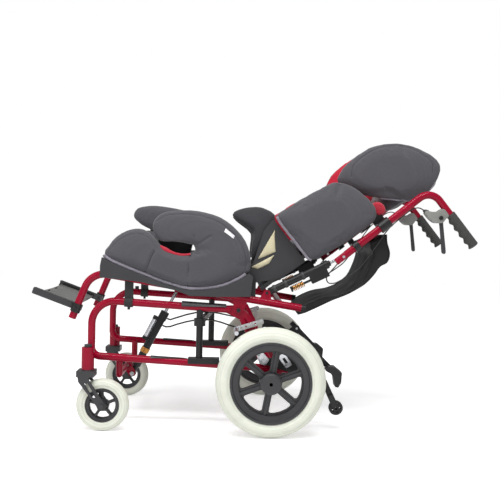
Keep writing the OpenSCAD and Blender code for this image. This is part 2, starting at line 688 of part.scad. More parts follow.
module link(side) {
    u = unit_of(link_top - cam_pin);
    n = [-u.y, u.x] * link_w / 2;
    color("#D8D8D4") from_axle() scale([1, side, 1]) difference() {
        union() {
            plate([cam_pin - n, cam_pin + n, link_top + n, link_top - n], link_y, link_y + link_t);
            for (p = [cam_pin, link_top]) cross_bar(p, link_y, link_y + link_t, link_w);
        }
        cross_bar(link_top, link_y - cut, link_y + link_t + cut, small_pin_d * 0.75 + 2 * run_gap);
        cross_bar(cam_pin, link_y - cut, link_y + link_t + cut, small_pin_d * 0.75 + 2 * open_play);
    }
}
open_play = 1.5;
module link_left() { link(-1); }
module link_right() { link(1); }
module brake_arm_right() { brake_arm(1); }

// Casters
fork_t = 6;
fork_gap = 2.5;
crown_h = 18;
crown_l = 50;
stem_top = 8;
caster_x = post_x + caster_trail;
crown_clear = 6;
crown_low = caster_d + crown_clear;
boss_d = 22;
caster_pin_d = 8;
fork_in = caster_w / 2 + fork_gap;
slit_shares = [[-0.15, 0.8], [0.07, 0.82], [0.68, 0.3], [0.46, 0.27]];
module fork(side) {
    color(black) from_axle() translate([post_x, side * caster_track / 2, 0]) difference() {
        union() {
            translate([0, 0, crown_low]) cylinder(h = housing_low - crown_low - seat_gap, d = housing_d);
            translate([-crown_l / 2 - crown_l / 16, -fork_in - fork_t, crown_low])
                    cube([crown_l, 2 * (fork_in + fork_t), crown_h - seat_gap * 2]);
            for (hand = [-1, 1]) {
                y = hand > 0 ? fork_in : -fork_in - fork_t;
                plate([[-crown_l * 0.5, crown_low + crown_h / 2],
                        [-crown_l * 0.44, crown_low - crown_h * 0.7],
                       [caster_trail - boss_d * 0.42, caster_d / 2 - boss_d * 0.27],
                               [caster_trail + boss_d * 0.42, caster_d / 2 + boss_d * 0.27],
                       [crown_l * 0.12, crown_low - crown_h * 0.3],
                               [crown_l * 0.3, crown_low + crown_h / 2]], y, y + fork_t);
                cross_bar([caster_trail, caster_d / 2], y, y + fork_t, boss_d);
            }
        }
        cross_bar([caster_trail, caster_d / 2], -fork_in - fork_t - cut, fork_in + fork_t + cut,
                caster_pin_d);
        plate(rounded(placed(slit_shares, [0, caster_d / 2], [caster_trail, crown_low - caster_d / 2]),
                fork_t / 2),
              -fork_in - fork_t - cut, fork_in + fork_t + cut);
    }
    color(steel) from_axle() translate([post_x, side * caster_track / 2, 0]) {
        translate([0, 0, housing_low - seat_gap - weld]) cylinder(h = housing_h + stem_top + seat_gap,
                d = stem_d);
        translate([0, 0, housing_low + housing_h + seat_gap]) cylinder(h = stem_top - weld, d = stem_d * 1.8);
        cross_bar([caster_trail, caster_d / 2], -fork_in - fork_t, fork_in + fork_t, caster_pin_d);
        for (hand = [-1, 1]) cross_bar([caster_trail, caster_d / 2], hand > 0
                ? fork_in + fork_t : -fork_in - fork_t - head_h_small * 0.7,
                                       hand > 0 ? fork_in + fork_t + head_h_small * 0.7 : -fork_in - fork_t,
                                               caster_pin_d * 1.7);
    }
}
module fork_left() { fork(-1); }
module fork_right() { fork(1); }

// A wheel's rim: stepped ring, dished web with rounded windows, ribbed spokes, hub
function window(r_in, r_out, spokes, web) = let (half = 180 / spokes, a_in = half - asin(web / 2 / r_in),
        a_out = half - asin(web / 2 / r_out))
    rounded(concat([r_in * [cos(-a_in), sin(-a_in)]], [for (k = [-2:2]) r_out * [cos(a_out * k / 2),
            sin(a_out * k / 2)]],
                   [r_in * [cos(a_in), sin(a_in)]]), r_out / 14, 4);
module rim(seat_d, width, hub, hub_len, bore, spokes, spin, cap) {
    r = seat_d / 2;
    ring_in = r * 0.8;
    web = width * 0.12;
    end = hub_len / 2;
    rotate([90, 0, 0]) difference() {
        union() {
            rotate_extrude($fn = fine) polygon([[0, -end], [hub / 2, -end], [hub / 2, -web], [ring_in, -web],
                    [ring_in, -width * 0.3],
                [r * 0.93, -width * 0.36], [r * 0.95, -width * 0.44], [r, -width * 0.44], [r, width * 0.44],
                        [r * 0.95, width * 0.44],
                [r * 0.93, width * 0.36], [ring_in, width * 0.3], [ring_in, web], [hub * 0.6, web],
                        [cap[0] / 2, end * 0.8],
                [cap[0] / 2, end + cap[1] * 0.6], [cap[0] * 0.42, end + cap[1]], [0, end + cap[1]]]);
            // Ribs along the spokes
            for (k = [0:spokes - 1]) rotate([0, 0, spin + k * 360 / spokes])
                translate([hub * 0.4, -width * 0.06, -width * 0.22])
                        cube([ring_in - hub * 0.34, width * 0.12, width * 0.44]);
        }
        for (k = [0:spokes - 1]) rotate([0, 0, spin + (k + 0.5) * 360 / spokes]) translate([0, 0, -width])
            linear_extrude(2 * width) polygon(window(hub * 0.78, ring_in * 0.95, spokes, seat_d * 0.085));
        translate([0, 0, -end - cut]) cylinder(h = 2 * end + cut + 2 * seat_gap, d = bore);
    }
}
// A tyre: rounded tread on straight side walls
module tyre(outer_d, seat_d, width) {
    tread = width * 0.46;
    r = outer_d / 2;
    wall = width / 2 * 0.88;
    rotate([90, 0, 0]) rotate_extrude($fn = fine) polygon(concat([[seat_d / 2, -wall * 0.9]],
        [for (a = [-100:20:100]) [r - tread + tread * cos(a), width / 2 * sin(a)]],
                [[seat_d / 2, wall * 0.9]]));
}
rear_spin = 20;
cap_h = 7;
module rear_place(side) { from_axle() translate([0, side * rear_y, axle_z]) scale([1, side, 1]) mirror([0, 1,
        0]) children(); }
module rim_of(side) {
    color(black) rear_place(side) rim(rear_seat_d, rear_w, hub_d, hub_l, axle_d + 2 * run_gap, rear_spokes,
            side < 0 ? rear_spin : -rear_spin, [cap_d, cap_h]);
}
module rim_left() { rim_of(-1); }
module rim_right() { rim_of(1); }
module tyre_left() { color(tyre_white) rear_place(-1) tyre(rear_d, rear_seat_d, rear_w); }
module tyre_right() { color(tyre_white) rear_place(1) tyre(rear_d, rear_seat_d, rear_w); }
caster_hub_d = 26;
caster_spin = 22;
module caster_place(side) {
    from_axle() translate([caster_x, side * caster_track / 2, caster_d / 2]) scale([1, side, 1])
            mirror([0, 1, 0]) children();
}
module caster_rim(side) {
    color(black) caster_place(side) rim(caster_seat_d, caster_w, caster_hub_d,
            2 * fork_in - 2 * seat_gap - weld, caster_pin_d + 2 * run_gap,
                                        caster_spokes, caster_spin, [caster_hub_d, 0.1 * fork_gap]);
}
module caster_rim_left() { caster_rim(-1); }
module caster_rim_right() { caster_rim(1); }
module caster_tyre_left() { color(tyre_white) caster_place(-1) tyre(caster_d, caster_seat_d, caster_w); }
module caster_tyre_right() { color(tyre_white) caster_place(1) tyre(caster_d, caster_seat_d, caster_w); }

// Tilt gas spring, from the base's bracket to the seat's middle cross tube
spring_head_s = -200;
spring_head_t = 12;
function seat_to_axle(p) = [tilt_x + p.x * cos(seat_slope) + p.y * sin(seat_slope),
        tilt_z - p.x * sin(seat_slope) + p.y * cos(seat_slope)];
function back_to_axle(p) = [recline_x + p.x * cos(recline_slope) - p.y * sin(recline_slope),
                            recline_z + p.x * sin(recline_slope) + p.y * cos(recline_slope)];
spring_head = seat_to_axle([spring_head_s, spring_head_t]);
tilt_len = norm(spring_head - spring_foot);
tilt_angle = atan2(spring_head.y - spring_foot.y, spring_head.x - spring_foot.x);
tilt_body_d = 28;
tilt_body_l = 222;
tilt_rod_d = 10;
tilt_neck_l = 27;
side_tube_d = 15;
side_tube_l = 74;
side_tube_from = 118;
eye_d = 22;
open_gap = 1;
head_eye_d = 18;
rod_engage = 120;
module along(foot, angle) { from_axle() translate([foot.x, 0, foot.y]) rotate([0, 90 - angle,
        0]) children(); }
module tilt_cylinder() {
    color(black) along(spring_foot, tilt_angle) difference() {
        union() {
            cylinder(h = tilt_neck_l + weld, d = spring_eye_w * 0.95);
            translate([0, 0, tilt_neck_l]) cylinder(h = tilt_body_l - tilt_neck_l, d = tilt_body_d * 0.86);
            translate([0, 0, tilt_body_l - tilt_body_d]) cylinder(h = tilt_body_d, d = tilt_body_d);
            cross_bar([0, 0], -spring_eye_w / 2, spring_eye_w / 2, eye_d);
            // Side tube in front of the body, between two blocks
            translate([-tilt_body_d * 0.43 - side_tube_d * 0.45, 0, side_tube_from])
                    cylinder(h = side_tube_l, d = side_tube_d);
            for (z = [side_tube_from - side_tube_d * 0.3, side_tube_from + side_tube_l - side_tube_d * 0.4])
                translate([-tilt_body_d * 0.43 - side_tube_d, -side_tube_d * 0.6, z])
                    cube([side_tube_d * 1.2, side_tube_d * 1.2, side_tube_d * 0.7]);
        }
        cross_bar([0, 0], -spring_eye_w, spring_eye_w, spring_pin_d + 2 * run_gap);
        translate([0, 0, tilt_body_l - rod_engage]) cylinder(h = rod_engage + cut,
                d = tilt_rod_d + 2 * run_gap);
    }
}
module tilt_rod() {
    color(steel) along(spring_foot, tilt_angle)
        translate([0, 0, tilt_body_l - rod_engage + seat_gap])
                cylinder(h = tilt_len - open_gap - head_eye_d / 2 - tilt_body_l + rod_engage - seat_gap,
                d = tilt_rod_d);
}

// Recline gas springs, from the seat rails to the lower ends of the push tubes
recline_foot = [74, 64];
push_low = 250;
fork_pin_u = 277;
recline_a = seat_to_axle(recline_foot);
recline_b = back_to_axle([fork_pin_u, -push_back]);
recline_len = norm(recline_b - recline_a);
recline_angle = atan2(recline_b.y - recline_a.y, recline_b.x - recline_a.x);
recline_body_d = 21;
recline_body_l = 190;
block_l = 56;
block_h = 34;
recline_rod_d = 8;
recline_engage = 90;
recline_eye_w = 8;
fork_eye_d = 14;
module recline_cylinder(side) {
    color(black) along(recline_a, recline_angle) translate([0, side * frame_y, 0]) difference() {
        union() {
            translate([0, 0, eye_d * 0.3]) cylinder(h = recline_body_l - eye_d * 0.3, d = recline_body_d);
            translate([0, -recline_body_d / 2, recline_body_l - block_l])
                    cube([block_h, recline_body_d, block_l]);
            cross_bar([0, 0], -recline_eye_w / 2, recline_eye_w / 2, eye_d * 0.8);
        }
        cross_bar([0, 0], -recline_eye_w, recline_eye_w, small_pin_d + 2 * run_gap);
        // Flats beside the eye, so the eye turns between its ears
        for (hand = [-1, 1]) translate([-recline_body_d, hand > 0
                ? recline_eye_w / 2 : -recline_eye_w / 2 - recline_body_d, -cut])
            cube([2 * recline_body_d, recline_body_d, eye_d * 0.75 + cut]);
        translate([0, 0, recline_body_l - recline_engage]) cylinder(h = recline_engage + cut,
                d = recline_rod_d + 2 * run_gap);
    }
}
module recline_rod(side) {
    color(steel) along(recline_a, recline_angle) translate([0, side * frame_y,
            recline_body_l - recline_engage + seat_gap])
        cylinder(h = recline_len - open_gap - fork_eye_d / 2 - recline_body_l + recline_engage - seat_gap,
                d = recline_rod_d);
}
module recline_cylinder_left() { recline_cylinder(-1); }
module recline_cylinder_right() { recline_cylinder(1); }
module recline_rod_left() { recline_rod(-1); }
module recline_rod_right() { recline_rod(1); }

// Seat frame
foot_bolt_d = 8;
module seat_frame() {
    color(red) on_seat() difference() {
        union() {
            both_sides() {
                translate([0, frame_y, 0]) seat_rails(tube_d);
                // Lugs on both sides of the base's gusset
                for (hand = [-1, 1]) {
                    y = frame_y + hand * (gusset_t / 2 + seat_gap + lug_t / 2);
                    plate(rounded([[-pin_d * 2.4, seat_rise], [-pin_d * 1.2, -pin_d * 0.9],
                            [pin_d * 0.6, -pin_d * 1.2], [pin_d * 1.3, -pin_d * 0.4],
                                   [pin_d * 2.4, seat_rise]], pin_d * 0.5), y - lug_t / 2, y + lug_t / 2);
                }
                // Ears for the recline spring
                for (hand = [-1, 1]) {
                    y = frame_y + hand * (recline_eye_w / 2 + seat_gap + lug_t / 2);
                    plate(rounded([recline_foot + [-eye_d * 0.9, seat_rise - recline_foot.y],
                            recline_foot + [eye_d * 0.9, seat_rise - recline_foot.y],
                                   recline_foot + [small_pin_d, small_pin_d * 0.9],
                                           recline_foot + [-small_pin_d, small_pin_d * 0.9]],
                                           small_pin_d * 0.6),
                          y - lug_t / 2, y + lug_t / 2);
                }
            }
            for (s = seat_cross_s) cross_bar([s, seat_rise], -frame_y, frame_y, seat_cross_d);
            // Ears for the tilt spring's rod
            for (side = [-1, 1]) {
                inner = spring_eye_w / 2 + seat_gap;
                plate(rounded([[spring_head_s - spring_pin_d * 1.5, seat_rise],
                        [spring_head_s - spring_pin_d, spring_head_t - spring_pin_d],
                               [spring_head_s + spring_pin_d, spring_head_t - spring_pin_d],
                                       [spring_head_s + spring_pin_d * 1.5, seat_rise]], spring_pin_d / 2),
                      side > 0 ? inner : -inner - ear_plate_t, side > 0 ? inner + ear_plate_t : -inner);
            }
        }
        both_sides() {
            cross_bar([0, 0], frame_y - gusset_t * 2, frame_y + gusset_t * 2, pin_d + 2 * run_gap);
            cross_bar(recline_foot, frame_y - tube_d, frame_y + tube_d, small_pin_d);
            cross_bar([foot_s, foot_t], frame_y - tube_d, frame_y + tube_d, foot_bolt_d);
            // The open lower end of the leg tube
            u = unit_of(leg_end - [-seat_front, seat_rise]);
            translate([0, frame_y, 0]) bar(leg_end - u * tube_d, leg_end + u * cut, tube_d * 0.82);
        }
        cross_bar([spring_head_s, spring_head_t], -frame_y / 2, frame_y / 2, spring_pin_d);
    }
}

// Padded base under the seat: a board on the cross tubes and two deep side skirts
pan_t = 10;
pan_low = seat_rise + seat_cross_d / 2 + seat_gap;
pan_half = 148;
skirt_t = 11;
cushion_front = -426;
cushion_rear = -34;
skirt_from = [-430, 26];
skirt_size = [450, 82];
skirt_shares = [[0.02, 0.415], [0.032, -0.004], [0.17, 0.039], [0.306, 0.08], [0.426, 0.023], [0.528, -0.001],
                [0.624, -0.106], [0.789, 0.01], [1.017, 0.228], [1.012, 0.94], [0.984, 1.049], [0.92, 0.72],
                [0.824, 0.402], [0.7, 0.159], [0.6, 0.073], [0.453, 0.159], [0.311, 0.317], [0.162, 0.488],
                [0.089, 0.585], [0.022, 0.707]];
module seat_pan() {
    color(black) on_seat() {
        translate([cushion_front, -pan_half, pan_low]) cube([cushion_rear - cushion_front, 2 * pan_half,
                pan_t]);
        both_sides() plate(placed(skirt_shares, skirt_from, skirt_size), frame_y + tube_d / 2 + seat_gap,
                frame_y + tube_d / 2 + seat_gap + skirt_t);
    }
}
function box_outline(x0, x1, half, r) = rounded([[x0, -half], [x1, -half], [x1, half], [x0, half]], r, 6);
cushion_corner = 46;
module seat_cushion() {
    low = pan_low + pan_t + seat_gap;
    mid = [(cushion_front + cushion_rear) / 2, 0];
    color(grey_cloth) on_seat() cushion(box_outline(cushion_front, cushion_rear, pan_half, cushion_corner),
            mid, low, low + cushion_h);
}

// Side wings of the seat: a thigh lobe and an arm lobe with a slit between them
wing_rear = hinge_s + bracket_t * 1.3;
wing_from = [wing_rear - wing_l, 32];
wing_mid = frame_y - 2 * soft_gap;
thigh_shares = [[0, 0.226], [0.016, 0.347], [0.053, 0.473], [0.117, 0.577], [0.191, 0.632], [0.262, 0.615],
        [0.347, 0.506], [0.425, 0.458],
                [0.517, 0.446], [0.598, 0.494], [0.736, 0.64], [0.874, 0.661], [0.956, 0.619],
                        [0.986, 0.481], [0.99, 0.345], [0.929, 0.232],
                [0.83, 0.123], [0.701, 0.039], [0.598, 0.01], [0.446, 0.039], [0.299, 0.094], [0.145, 0.152]];
near_lobe_shares = [[0.29, 0.766], [0.331, 0.887], [0.405, 0.952], [0.536, 1], [0.641, 1], [0.749, 0.967],
        [0.844, 0.879], [0.908, 0.774],
                    [0.956, 0.64], [0.986, 0.481], [0.955, 0.326], [0.828, 0.264], [0.701, 0.347],
                            [0.612, 0.48], [0.578, 0.57],
                    [0.5, 0.585], [0.437, 0.578], [0.363, 0.556], [0.31, 0.628]];
far_lobe_shares = [[0.028, 0.828], [0.051, 0.933], [0.11, 0.983], [0.195, 1.02], [0.347, 1.03],
        [0.536, 1.013], [0.641, 1], [0.749, 0.967],
                   [0.844, 0.879], [0.908, 0.774], [0.956, 0.64], [0.986, 0.481], [0.955, 0.326],
                           [0.828, 0.264], [0.701, 0.347],
                   [0.612, 0.48], [0.578, 0.57], [0.437, 0.59], [0.269, 0.61], [0.152, 0.661],
                           [0.057, 0.753]];
thigh_centre_share = [0.46, 0.27];
near_centre_share = [0.72, 0.68];
far_centre_share = [0.66, 0.7];
module seat_wing(lobe, lobe_centre) {
    size = [wing_l, wing_h];
    thigh_c = placed([thigh_centre_share], wing_from, size)[0];
    lobe_c = placed([lobe_centre], wing_from, size)[0];
    color(grey_cloth) on_seat() difference() {
        union() {
            pillow(smooth(placed(thigh_shares, wing_from, size)), thigh_c, wing_mid, wing_t);
            pillow(smooth(placed(lobe, wing_from, size)), lobe_c, wing_mid, wing_t * 0.94);
        }
        translate([0, frame_y, 0]) bar([seat_rear, seat_rise], [-seat_front - leg_bend_r, seat_rise],
                tube_d + 2 * seat_gap);
        for (s = seat_cross_s) cross_bar([s, seat_rise], 0, frame_y, seat_cross_d + 2 * seat_gap);
    }
}
module seat_wing_left() { scale([1, -1, 1]) seat_wing(near_lobe_shares, near_centre_share); }
module seat_wing_right() { seat_wing(far_lobe_shares, far_centre_share); }

// Recline brackets on the seat rails, with their pins, and end plugs of the rails
hinge_round = 4;
hinge_size = [52, 50];
hinge_shares = [[-0.19, 0], [0.81, 0], [0.635, 1.3], [0.154, 1.28], [-0.19, 0.88]];
back_arm_t = 8;
back_arm_y = pan_half - back_arm_t - soft_gap * 2;
module seat_fittings() {
    color(black) on_seat() both_sides() {
        difference() {
            union() {
                plate(rounded(placed(hinge_shares, [hinge_s, seat_rise], hinge_size), hinge_round),
                      frame_y - bracket_t / 2, frame_y + bracket_t / 2);
                cross_bar([hinge_s, hinge_t], back_arm_y - head_h_small,
                        frame_y + bracket_t / 2 + head_h_small, pin_d);
                cross_bar([hinge_s, hinge_t], back_arm_y + back_arm_t + seat_gap, frame_y - bracket_t / 2,
                        pin_d * 1.4);
                cross_bar([hinge_s, hinge_t], back_arm_y - head_h_small, back_arm_y - seat_gap, pin_d * 1.6);
            }
            translate([0, frame_y, 0]) bar([-seat_front, seat_rise], [seat_rear, seat_rise],
                    tube_d + 2 * seat_gap);
        }
        // Plug in the rail's rear end
        translate([0, frame_y, 0]) bar([seat_rear + seat_gap, seat_rise],
                [seat_rear + tube_d * 0.6, seat_rise], tube_d * 1.05);
        // Pin of the recline spring's lower end
        cross_bar(recline_foot, frame_y - recline_eye_w / 2 - lug_t - head_h_small,
                frame_y + recline_eye_w / 2 + lug_t + head_h_small, small_pin_d);
        // Clamp round the leg tube
        difference() {
            u = unit_of(leg_end - [-seat_front, seat_rise]);
            translate([0, frame_y, 0]) bar([foot_s, foot_t] - u * tube_d * 0.6,
                    [foot_s, foot_t] + u * tube_d * 0.6, tube_d + 2 * clamp_wall);
            translate([0, frame_y, 0]) bar([foot_s, foot_t] - u * tube_d, [foot_s, foot_t] + u * tube_d,
                    tube_d + 2 * seat_gap);
            cross_bar([foot_s, foot_t], frame_y - tube_d, frame_y + tube_d, foot_bolt_d);
        }
        // Bolt and eye at the head of the tilt spring
        for (hand = [-1, 1]) cross_bar([spring_head_s, spring_head_t], hand > 0
                ? 0 : -spring_eye_w / 2 - ear_plate_t - head_h_small,
                                       hand > 0 ? spring_eye_w / 2 + ear_plate_t + head_h_small : 0,
                                               spring_pin_d);
        cross_bar([spring_head_s, spring_head_t], -spring_eye_w / 2, spring_eye_w / 2, head_eye_d);
        // Bolt of the footrest
        cross_bar([foot_s, foot_t], foot_y - head_h_small / 2,
                frame_y + tube_d / 2 + clamp_wall + head_h_small, foot_bolt_d);
    }
}

// Footrest: two channel rails on the leg tubes and a sling between them
foot_rail_t = 12;
clamp_wall = 3.5;
foot_y = frame_y - tube_d / 2 - 2 * seat_gap - clamp_wall - foot_rail_t;
sling_t = 3;
sling_sag = 16;
module foot_rails() {
    color("#4A4A48") on_foot() both_sides() {
        difference() {
            plate(rounded([[foot_tail, -foot_rail_h / 2], [foot_tail, foot_rail_h / 2],
                    [foot_tail - foot_l, foot_rail_h / 2],
                           [foot_tail - foot_l, -foot_rail_h / 2]], foot_rail_h / 6), foot_y,
                                   foot_y + foot_rail_t);
            // Open channel on the inner face, for the sling's hem
            translate([foot_tail - foot_l - cut, foot_y - cut, -foot_rail_h / 4])
                    cube([foot_l - foot_tail * 2.4, foot_rail_t / 2 + cut, foot_rail_h / 2]);
            cross_bar([0, 0], foot_y - cut, foot_y + foot_rail_t + cut, foot_bolt_d + 2 * run_gap);
        }
        cross_bar([-foot_rail_h * 1.15, 0], foot_y + foot_rail_t, foot_y + foot_rail_t + head_h_small / 2,
                foot_bolt_d * 1.4);
    }
}
module foot_sling() {
    half = foot_y + foot_rail_t / 2 - seat_gap;
    steps = 16;
    top = [for (i = [0:steps]) let (y = -half + 2 * half * i / steps) [y,
            -sling_sag * (1 - pow(y / half, 2)) + sling_t / 2]];
    low = [for (i = [steps:-1:0]) [top[i].x, top[i].y - sling_t]];
    color("#8A8A88") on_foot() translate([-foot_rail_h * 0.9, 0, 0]) rotate([90, 0, -90])
            linear_extrude(foot_l - foot_tail - foot_rail_h * 1.3)
        polygon(concat(top, low));
}

// Backrest shell: a board behind the pad and two cheeks that reach down to the recline pins
shell_t = 12;
shell_v = -58;
shell_half = pan_half - 3 * soft_gap;
shell_low = 24;
shell_top = 440;
cheek_shares = [[-0.06, 0.02], [-0.02, -0.09], [0.12, -0.14], [0.5, -0.34], [0.98, -0.36], [0.98, 0.5],
        [0.75, 0.45], [0.28, 0.13], [0.05, 0.1]];
cheek_l = 186;
cheek_round = 6;
module back_shell() {
    color(black) on_back() difference() {
        union() {
            translate([shell_low, -shell_half, shell_v]) cube([shell_top - shell_low, 2 * shell_half,
                    shell_t]);
            both_sides() plate(rounded(placed(cheek_shares, [0, 0], [cheek_l, cheek_l]), cheek_round, 4),
                    back_arm_y, back_arm_y + back_arm_t);
            // Guide block of the headrest stem
            translate([collar_u - seat_gap - guide_l, -guide_w / 2, shell_v - guide_h])
                    cube([guide_l, guide_w, guide_h + weld]);
        }
        both_sides() cross_bar([0, 0], back_arm_y - cut, back_arm_y + back_arm_t + cut, pin_d + 2 * run_gap);
        translate([shell_low, 0, stem_v]) rotate([0, 90, 0])
                cylinder(h = shell_top, d = head_stem_d + 2 * run_gap);
    }
}
guide_l = 60;
collar_u = 453;
collar_l = 13;
collar_d = 48;
guide_w = 60;
guide_h = 34;
head_stem_d = 14;
stem_v = shell_v - guide_h / 2;
pad_t = 44;
pad_inset = 6;
pad_half = back_arm_y - soft_gap * 2;
module back_pad() {
    low = shell_v + shell_t + seat_gap;
    mid = [(shell_low + shell_top) / 2, 0];
    color(grey_cloth) on_back() cushion(box_outline(shell_low + pad_inset, shell_top - 4 * pad_inset,
            pad_half, cushion_corner), mid, low, low + pad_t);
}

// Side wings of the backrest
back_wing_from = [184, -100];
back_wing_shares = [[0, 0.9], [0, 0.5], [0.004, 0.2], [0.03, 0.13], [0.121, 0.075], [0.439, 0.01],
        [0.746, 0], [0.898, 0.02], [0.973, 0.108],
                    [1, 0.245], [0.973, 0.475], [0.917, 0.676], [0.83, 0.814], [0.754, 0.882], [0.504, 0.95],
                            [0.216, 0.985], [0.03, 0.99]];
back_wing_centre_share = [0.5, 0.48];
module back_wing() {
    size = [back_wing_l, back_wing_h];
    color(grey_cloth) on_back() pillow(smooth(placed(back_wing_shares, back_wing_from, size)),
        placed([back_wing_centre_share], back_wing_from, size)[0], shell_half + seat_gap + back_wing_t / 2,
                back_wing_t);
}
module back_wings() { both_sides() back_wing(); }

// Dark hip supports on the cheeks' inner faces
hip_t = 26;
hip_from = [56, 26];
hip_size = [140, 158];
hip_shares = [[0, 0], [0.14, 0.24], [0.29, 0.46], [0.28, 0.72], [0.27, 1], [0.5, 0.98], [0.79, 0.82],
        [0.92, 0.67], [1, 0.47], [0.84, 0.3],
              [0.57, 0.13], [0.28, 0.04]];
hip_centre_share = [0.5, 0.55];
module hip_pads() {
    color(grey_cloth) on_back() both_sides() pillow(smooth(placed(hip_shares, hip_from, hip_size)),
        placed([hip_centre_share], hip_from, hip_size)[0], back_arm_y - seat_gap - hip_t / 2, hip_t);
}

// Push tubes with a fork at the lower end
fork_l = 38;
fork_play = 1.5;
fork_slot = recline_rod_d + 2 * fork_play;
module push_tubes() {
    color(red) on_back() both_sides() translate([0, frame_y, 0]) difference() {
        bent_tube([[push_low, -push_back], [push_top, -push_back],
                [push_top, -push_back - grip_end + seat_gap]], [push_bend_r], tube_d);
        translate([push_low - cut, -fork_slot / 2, -push_back - tube_d])
                cube([fork_l + cut, fork_slot, 2 * tube_d]);
        cross_bar([fork_pin_u, -push_back], -tube_d, tube_d, small_pin_d);
        for (u = clamp_u) cross_bar([u, -push_back], -tube_d, tube_d, clamp_bolt_d);
    }
}
clamp_u = [327, 432];
clamp_bolt_d = 5;
clamp_l = [18, 36];
clamp_r = 17;
post_y = 136;
module tube_clamps() {
    color(black) on_back() both_sides() for (i = [0, 1]) difference() {
        union() {
            translate([clamp_u[i] - clamp_l[i] / 2, post_y, -push_back - clamp_r * 0.7])
                    cube([clamp_l[i], frame_y - post_y, clamp_r * 1.4]);
            translate([clamp_u[i] - clamp_l[i] / 2, frame_y, -push_back]) rotate([0, 90, 0])
                    cylinder(h = clamp_l[i], r = clamp_r);
            translate([clamp_u[i] - clamp_l[i] / 2, post_y, -push_back])
                    cube([clamp_l[i], shell_half - post_y, push_back + shell_v - seat_gap]);
        }
        translate([0, frame_y, 0]) bar([push_low, -push_back], [push_top, -push_back], tube_d + 2 * seat_gap);
        cross_bar([clamp_u[i], -push_back], frame_y - 2 * tube_d, frame_y + 2 * tube_d, clamp_bolt_d);
    }
}
module tube_bolts() {
    color(steel) on_back() both_sides() {
        // Pins of the recline springs' upper ends
        cross_bar([fork_pin_u, -push_back], frame_y - tube_d / 2 - head_h_small / 2,
                frame_y + tube_d / 2 + head_h_small / 2, small_pin_d);
        cross_bar([fork_pin_u, -push_back], frame_y - recline_eye_w / 2, frame_y + recline_eye_w / 2,
                fork_eye_d);
        for (u = clamp_u) {
            cross_bar([u, -push_back], frame_y - clamp_r, frame_y + clamp_r + seat_gap, clamp_bolt_d);
            cross_bar([u, -push_back], frame_y + clamp_r + seat_gap,
                    frame_y + clamp_r + seat_gap + head_h_small / 2, clamp_bolt_d * 1.8);
        }
    }
}

// Cloth bag slung behind the backrest
bag_half = 158;
bag_h = 97;
bag_from = [66, -push_back - clamp_r * 0.7 - seat_gap - bag_h];
bag_size = [364, bag_h];
bag_shares = [[1, 0.98], [0.984, 0.826], [0.945, 0.62], [0.909, 0.31], [0.849, 0.135], [0.78, 0.17],
        [0.693, 0.073],
              [0.6, 0.022], [0.524, 0.039], [0.423, 0.104], [0.299, 0.238], [0.176, 0.341], [0.06, 0.44],
                      [0, 0.54],
              [0.038, 0.6], [0.121, 0.578], [0.203, 0.506], [0.269, 0.408], [0.364, 0.228], [0.464, 0.114],
              [0.547, 0.1], [0.609, 0.135], [0.698, 0.3], [0.79, 0.547], [0.813, 0.774], [0.841, 0.93],
                      [0.9, 0.985]];
module back_bag() {
    color(black) on_back() difference() {
        plate(smooth(placed(bag_shares, bag_from, bag_size)), -bag_half, bag_half);
        both_sides() for (i = [0, 1])
            translate([clamp_u[i] - clamp_l[i] / 2 - seat_gap, post_y - seat_gap,
                    -push_back - clamp_r * 0.7 - seat_gap])
                cube([clamp_l[i] + 2 * seat_gap, frame_y - post_y, clamp_r * 1.4]);
    }
}

// Hand grips with finger scallops
grip_top = grip_end - grip_l;
scallop_d = 17;
scallop_depth = 2.6;
scallops = 6;
module grips() {
    color("#3C3C3C") on_back() both_sides() translate([push_top, frame_y, -push_back - grip_end])
            difference() {
        rotate_extrude($fn = fine) polygon([[tube_d / 2 + seat_gap, 0], [0, 0], [0, -grip_d / 8],
                [grip_d * 0.36, -grip_d / 8],
            [grip_d * 0.46, -grip_d / 16], [grip_d / 2, grip_d / 16], [grip_d / 2, grip_l - grip_d / 16],
            [grip_d * 0.47, grip_l], [tube_d / 2 + seat_gap, grip_l]]);
        for (i = [1:scallops]) cross_bar([-grip_d / 2 - scallop_d / 2 + scallop_depth,
                grip_l * (i - 0.3) / (scallops + 0.4)],
                                         -grip_d, grip_d, scallop_d);
    }
}

// Hand levers
lever_pivot = [575, -204];
housing_t = 26;
lever_t = 8;
housing_round = 4;
housing_nose = [[554, -158], [546, -168], [560, -214], [578, -220]];
slot_from = [530, -260];
slot_h = 66;
slot_end = 6;
lever_round = 3;
lever_line = [[583, -206], [568, -197], [552, -222], [530, -256], [506, -284], [508, -294], [520, -292],
        [548, -262],
              [568, -234]];
module lever_housings() {
    color("#6A6A68") on_back() both_sides() difference() {
        union() {
            translate([push_top, frame_y, -push_back - grip_top + seat_gap])
                    cylinder(h = housing_t, d = tube_d * 1.5);
            plate(rounded(concat([[push_top, -push_back - grip_top + seat_gap],
                    [push_top, -push_back - grip_top + housing_t]],
                                 housing_nose), housing_round),
                  frame_y - housing_t / 2, frame_y + housing_t / 2);
        }
        translate([push_top, frame_y, -push_back - grip_end])
                cylinder(h = grip_end, d = tube_d + 2 * seat_gap);
        translate([push_top, frame_y, -push_back - grip_end]) cylinder(h = grip_l, d = grip_d + 2 * seat_gap);
        // Slot for the lever
        translate([slot_from.x, frame_y - lever_t / 2 - seat_gap, slot_from.y])
            cube([push_top - tube_d / 2 - slot_end - slot_from.x, lever_t + 2 * seat_gap, slot_h]);
        cross_bar(lever_pivot, frame_y - housing_t, frame_y + housing_t, small_pin_d * 0.75);
    }
}
module lever(side) {
    color("#5A5A58") on_back() translate([0, side * frame_y, 0]) difference() {
        plate(rounded(lever_line, lever_round, 4), -lever_t / 2, lever_t / 2);
        cross_bar(lever_pivot, -housing_t, housing_t, small_pin_d * 0.75 + 2 * run_gap);
    }
}
